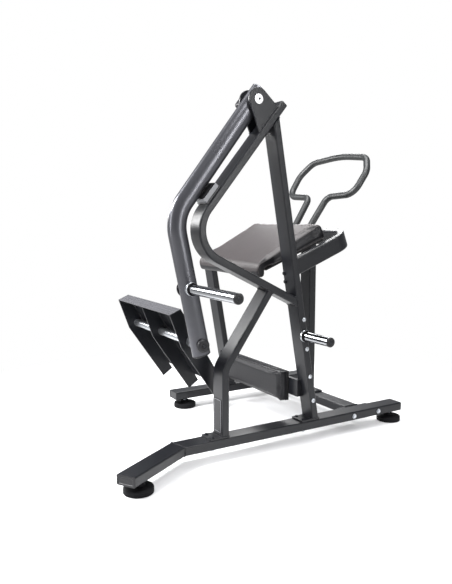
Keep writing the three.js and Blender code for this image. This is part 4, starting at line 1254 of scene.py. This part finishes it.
class REARKICK_OT_upper_pad(Maker, bpy.types.Operator):
    """The sloped body pad with its rolled rear edge and welted sides"""
    bl_idname = "rearkick.upper_pad"
    bl_label = "Upper pad"

    def execute(self, context):
        leather = pad_leather(self.look)
        rings = []
        edge = [(0, 17), (2, 10), (6, 4.5), (12, 1.4), (20, 0)]
        spread = [-PAD_HALF + 20 + (2 * PAD_HALF - 40) * k / 14 for k in range(1, 14)]
        rows = [(-PAD_HALF + far_in, inset) for far_in, inset in edge]
        rows += [(y, 0) for y in spread] + [(-y, inset) for y, inset in reversed(rows)]
        for y, inset in rows:
            crown = self.size.pad_crown * (1 - (y / PAD_HALF) ** 2)
            rings.append([on_pad(u, v, y) for u, v in pad_profile(inset, crown)])
        pad = make("body_pad", [loft(rings)], leather, "frame", ["upper_pad"], "upholstery")
        under = on_pad(0, -PAD_THICK + 4, 0)

        def on_board(p):
            return (p - under).dot(SLOPE_V) < 0 and (p - on_pad(-400, 0, 0)).dot(SLOPE_U) > 0

        puffed(pad, self.size.pad_voxel, self.size.pad_shrink, self.size.pad_limit, on_board)
        finish_pad(pad)
        # The upper pad's sideways and downward faces take the black leather as painted shade.
        pad.data.materials.append(shin_leather(self.look))
        for face in pad.data.polygons:
            if abs(face.normal.y) > PAINTED_SHADE_SIDE or face.normal.dot(SLOPE_V) < PAINTED_SHADE_UNDER:
                face.material_index = 1
        welts = []
        for y in (-PAD_HALF + 3, PAD_HALF - 3):
            line = [on_pad(u, v, y) for u, v in pad_profile(4)]
            welts.append(piping(pad, line, self.size.welt))
        make("body_pad_welts", welts, leather, "frame", slot="upholstery", sharp=80)
        rows = []
        for y in (-PAD_HALF + 13, PAD_HALF - 13):
            rows += stitches(pad, [on_pad(u, v, y) for u, v in pad_profile(0)])
        make("body_pad_stitches", rows, polyester_thread(self.look), "frame",
             slot="upholstery", sharp=80)
        return {"FINISHED"}


class REARKICK_OT_shin_pad(Maker, bpy.types.Operator):
    """The long low pad in front of the shins, welted round its face"""
    bl_idname = "rearkick.shin_pad"
    bl_label = "Shin pad"

    def execute(self, context):
        leather = shin_leather(self.look)
        low, high, half = SHIN["low"], SHIN["high"], SHIN["half"]
        front, back = SHIN["rear"], SHIN["rear"] + SHIN["thick"]
        rings = []
        for x, inset in ((front, 13), (front + 3, 5), (front + 10, 0), (back - 4, 0), (back, 4)):
            section = rounded_rect(2 * half - 2 * inset, high - low - 2 * inset, 14, 5)
            rings.append([at(x, 0, (low + high) / 2) + ACROSS * a + UP * b for a, b in section])
        pad = make("low_pad", [loft(rings)], leather, "frame", ["shin_pad"], "shin_upholstery")
        edge = at(back - 4, 0, 0).x
        puffed(pad, self.size.pad_voxel, self.size.pad_shrink, self.size.pad_limit,
               lambda p: p.x > edge)
        finish_pad(pad)
        welts = []
        for x in (front + 6, back - 5):
            section = rounded_rect(2 * half, high - low, 14, 5)
            line = [at(x, 0, (low + high) / 2) + ACROSS * a + UP * b for a, b in section]
            welts.append(piping(pad, line, self.size.welt))
        make("low_pad_welts", welts, leather, "frame", slot="shin_upholstery", sharp=80)
        section = rounded_rect(2 * half - 20, high - low - 20, 10, 5)
        line = [at(front, 0, (low + high) / 2) + ACROSS * a + UP * b for a, b in section]
        make("low_pad_stitches", stitches(pad, line), polyester_thread(self.look), "frame",
             slot="shin_upholstery", sharp=80)
        return {"FINISHED"}


# ---- fasteners ----
# ---- fasteners and finish of the kept pieces ----
POST_BOLTS = [(331, 681), (354, 518), (378, 363), (403, 225)]
CROSS_BOLTS = [706, 894]
RAIL_BOLTS, RAIL_BOLT_Y = [930, 885], -405
WELD_GAP = 0.00002


class REARKICK_OT_fasteners(Maker, bpy.types.Operator):
    """Bolts on the posts, beams and base plates"""
    bl_idname = "rearkick.fasteners"
    bl_label = "Fasteners"

    def execute(self, context):
        zinc = zinc_plate(self.look)
        dark = zinc_black(self.look)
        outer = -SIDE - BEAM_W / 2
        bright = []
        for x, z in POST_BOLTS:
            bright += dome_head(at(x, outer, z), -ACROSS, 9)
            bright += dome_head(at(x, -outer, z), ACROSS, 9)
        for x in CROSS_BOLTS:
            for side, y in ((-1, outer), (1, -outer)):
                bright += hex_head(at(x, y, BEAM_MID), ACROSS * side, 19, 8, 14)
        make("post_bolts", bright, zinc, "frame", slot="zinc_steel", bevel=0.3)

        black = []
        for z in RAIL_BOLTS:
            spot = at(post_x(z), RAIL_BOLT_Y, z) - POST_FACE * POST_T / 2 * MM
            black += hex_head(spot, -POST_FACE)
        black += dome_head(at(post_x(808), -450, 808) - POST_FACE * POST_T / 2 * MM,
                           -POST_FACE, 8)
        plates = [(POST_X - 74, -SIDE), (POST_X - 74, SIDE), (LEG_X - 70, -SIDE)]
        for x, y in plates:
            for off in (-30, 30):
                black += hex_head(at(x, y + off, PLATE_TOP - 0.4), UP, 17, 7, 13)
        for off in (-44, 44):
            black += hex_head(at(COLUMN_X + 56, off, PLATE_TOP - 0.4), UP, 15, 6, 11)
        make("plate_bolts", black, dark, "frame", slot="black_plastic", bevel=0.3)

        under = []
        for x, y in plates:
            for off in (-30, 30):
                under += hex_head(at(x, y + off, BEAM_LOW), -UP, 17, 9, 13)
        make("beam_nuts", under, zinc, "frame", slot="zinc_steel", bevel=0.3)
        return {"FINISHED"}


class REARKICK_OT_dress(Maker, bpy.types.Operator):
    """Finish and eased edges for the frame's own plates, blocks and boards"""
    bl_idname = "rearkick.dress"
    bl_label = "Dress the frame"

    def execute(self, context):
        finishes = {
            frame_powder_coat: ["cross_beam_flange_near", "cross_beam_flange_far",
                                "near_post_base_plate", "far_post_base_plate", "pad_arm",
                                "near_rear_leg_base_plate", "column_base_plate", "rail_wedge",
                                "bumper_bracket", "shin_pad_bracket_near",
                                "shin_pad_bracket_far"],
            grey_polymer: ["bumper_block"],
            rubber_moulded: ["bumper_rubber"],
            zinc_plate: ["pivot_shaft", "lever_hub"],
            painted_ply: ["upper_pad_board", "shin_pad_board"],
        }
        for finish, names in finishes.items():
            for name in names:
                node = frame["nodes"][name]
                node.data.materials.clear()
                node.data.materials.append(finish(self.look))
                weld = node.modifiers.new("joined", "WELD")
                weld.merge_threshold = WELD_GAP
                ease = node.modifiers.new("eased", "BEVEL")
                ease.width = self.size.eased_edge * MM
                ease.segments = 2
                ease.limit_method = "ANGLE"
                ease.angle_limit = math.radians(40)
                normals = node.modifiers.new("normals", "WEIGHTED_NORMAL")
                normals.keep_sharp = True
        return {"FINISHED"}


# ---- settings and panel ----
def colour_setting(name, description, code):
    return bpy.props.FloatVectorProperty(name=name, description=description, size=3,
                                         subtype="COLOR", min=0, max=1,
                                         default=linear(code)[:3])


def size_setting(name, description, default, low, high):
    return bpy.props.FloatProperty(name=name, description=description, default=default,
                                   min=low, max=high)


class RearKickLook(bpy.types.PropertyGroup):
    frame_colour: colour_setting("Frame", "Colour of the frame's powder coat", "#121316")
    arm_colour: colour_setting("Lever", "Colour of the lever's metallic coat", "#5b5b60")
    grip_colour: colour_setting("Handle", "Colour of the handle's textured coat", "#141617")
    pad_colour: colour_setting("Upper pad", "Colour of the upper pad's leather", "#2e2a2a")
    shin_colour: colour_setting("Low pad", "Colour of the low pad's leather", "#0e0e11")
    block_colour: colour_setting("Stop block", "Colour of the stop block", "#86878a")
    surround: size_setting("Surround", "Brightness of the white surroundings", 0.36, 0, 5)
    key_power: size_setting("Key light", "Power of the main light in watts", 420, 0, 2000)
    floor_wash: size_setting("Floor wash", "How far the floor is washed out", 0.2, 0, 1)


class RearKickSize(bpy.types.PropertyGroup):
    weld: size_setting("Weld", "Radius of the weld beads in mm", 3.0, 1, 6)
    welt: size_setting("Welt", "Radius of the pads' piping in mm", 2.6, 1, 6)
    eased_edge: size_setting("Eased edge", "Rounding of plate edges in mm", 1.0, 0.1, 2)
    tread_pitch: size_setting("Tread pitch", "Spacing of the raised lugs in mm", 16, 12, 60)
    tread_height: size_setting("Tread height", "Height of the raised lugs in mm", 1.6, 0.5, 3)
    pad_crown: size_setting("Pad crown", "Rise of the upper pad's middle in mm", 18, 0, 40)
    pad_fill: size_setting("Pad fill", "How full the pads are, from slack to tight", 0.75, 0, 1)
    pad_voxel: size_setting("Pad mesh", "Mesh spacing of the pads in mm", 6, 4, 10)
    pad_shrink: size_setting("Pad start", "How much smaller the pads start in mm", 6, 0, 12)
    pad_limit: size_setting("Pad swell", "How far a pad's skin may swell in mm", 9, 2, 16)


OPERATORS = [
    REARKICK_OT_stage, REARKICK_OT_base, REARKICK_OT_feet, REARKICK_OT_posts, REARKICK_OT_loop,
    REARKICK_OT_pivot, REARKICK_OT_lever, REARKICK_OT_horns, REARKICK_OT_foot_plate,
    REARKICK_OT_rail, REARKICK_OT_handle, REARKICK_OT_upper_pad, REARKICK_OT_shin_pad,
    REARKICK_OT_fasteners, REARKICK_OT_dress,
]


class REARKICK_PT_panel(bpy.types.Panel):
    """Settings and makers of the rear kick machine"""
    bl_idname = "REARKICK_PT_panel"
    bl_label = "Rear Kick Machine"
    bl_space_type = "VIEW_3D"
    bl_region_type = "UI"
    bl_category = "Rear Kick"

    def draw(self, context):
        for group in (context.scene.rear_kick_look, context.scene.rear_kick_size):
            for name in type(group).__annotations__:
                self.layout.prop(group, name)
        for operator in OPERATORS:
            self.layout.operator(operator.bl_idname)


CLASSES = [RearKickLook, RearKickSize, *OPERATORS, REARKICK_PT_panel]


def register():
    for cls in CLASSES:
        bpy.utils.register_class(cls)
    bpy.types.Scene.rear_kick_look = bpy.props.PointerProperty(type=RearKickLook)
    bpy.types.Scene.rear_kick_size = bpy.props.PointerProperty(type=RearKickSize)


def unregister():
    del bpy.types.Scene.rear_kick_look
    del bpy.types.Scene.rear_kick_size
    for cls in reversed(CLASSES):
        bpy.utils.unregister_class(cls)


def main():
    register()
    for operator in OPERATORS:
        group, name = operator.bl_idname.split(".")
        getattr(getattr(bpy.ops, group), name)()
    bpy.context.view_layer.update()


if __name__ == "__main__":
    main()
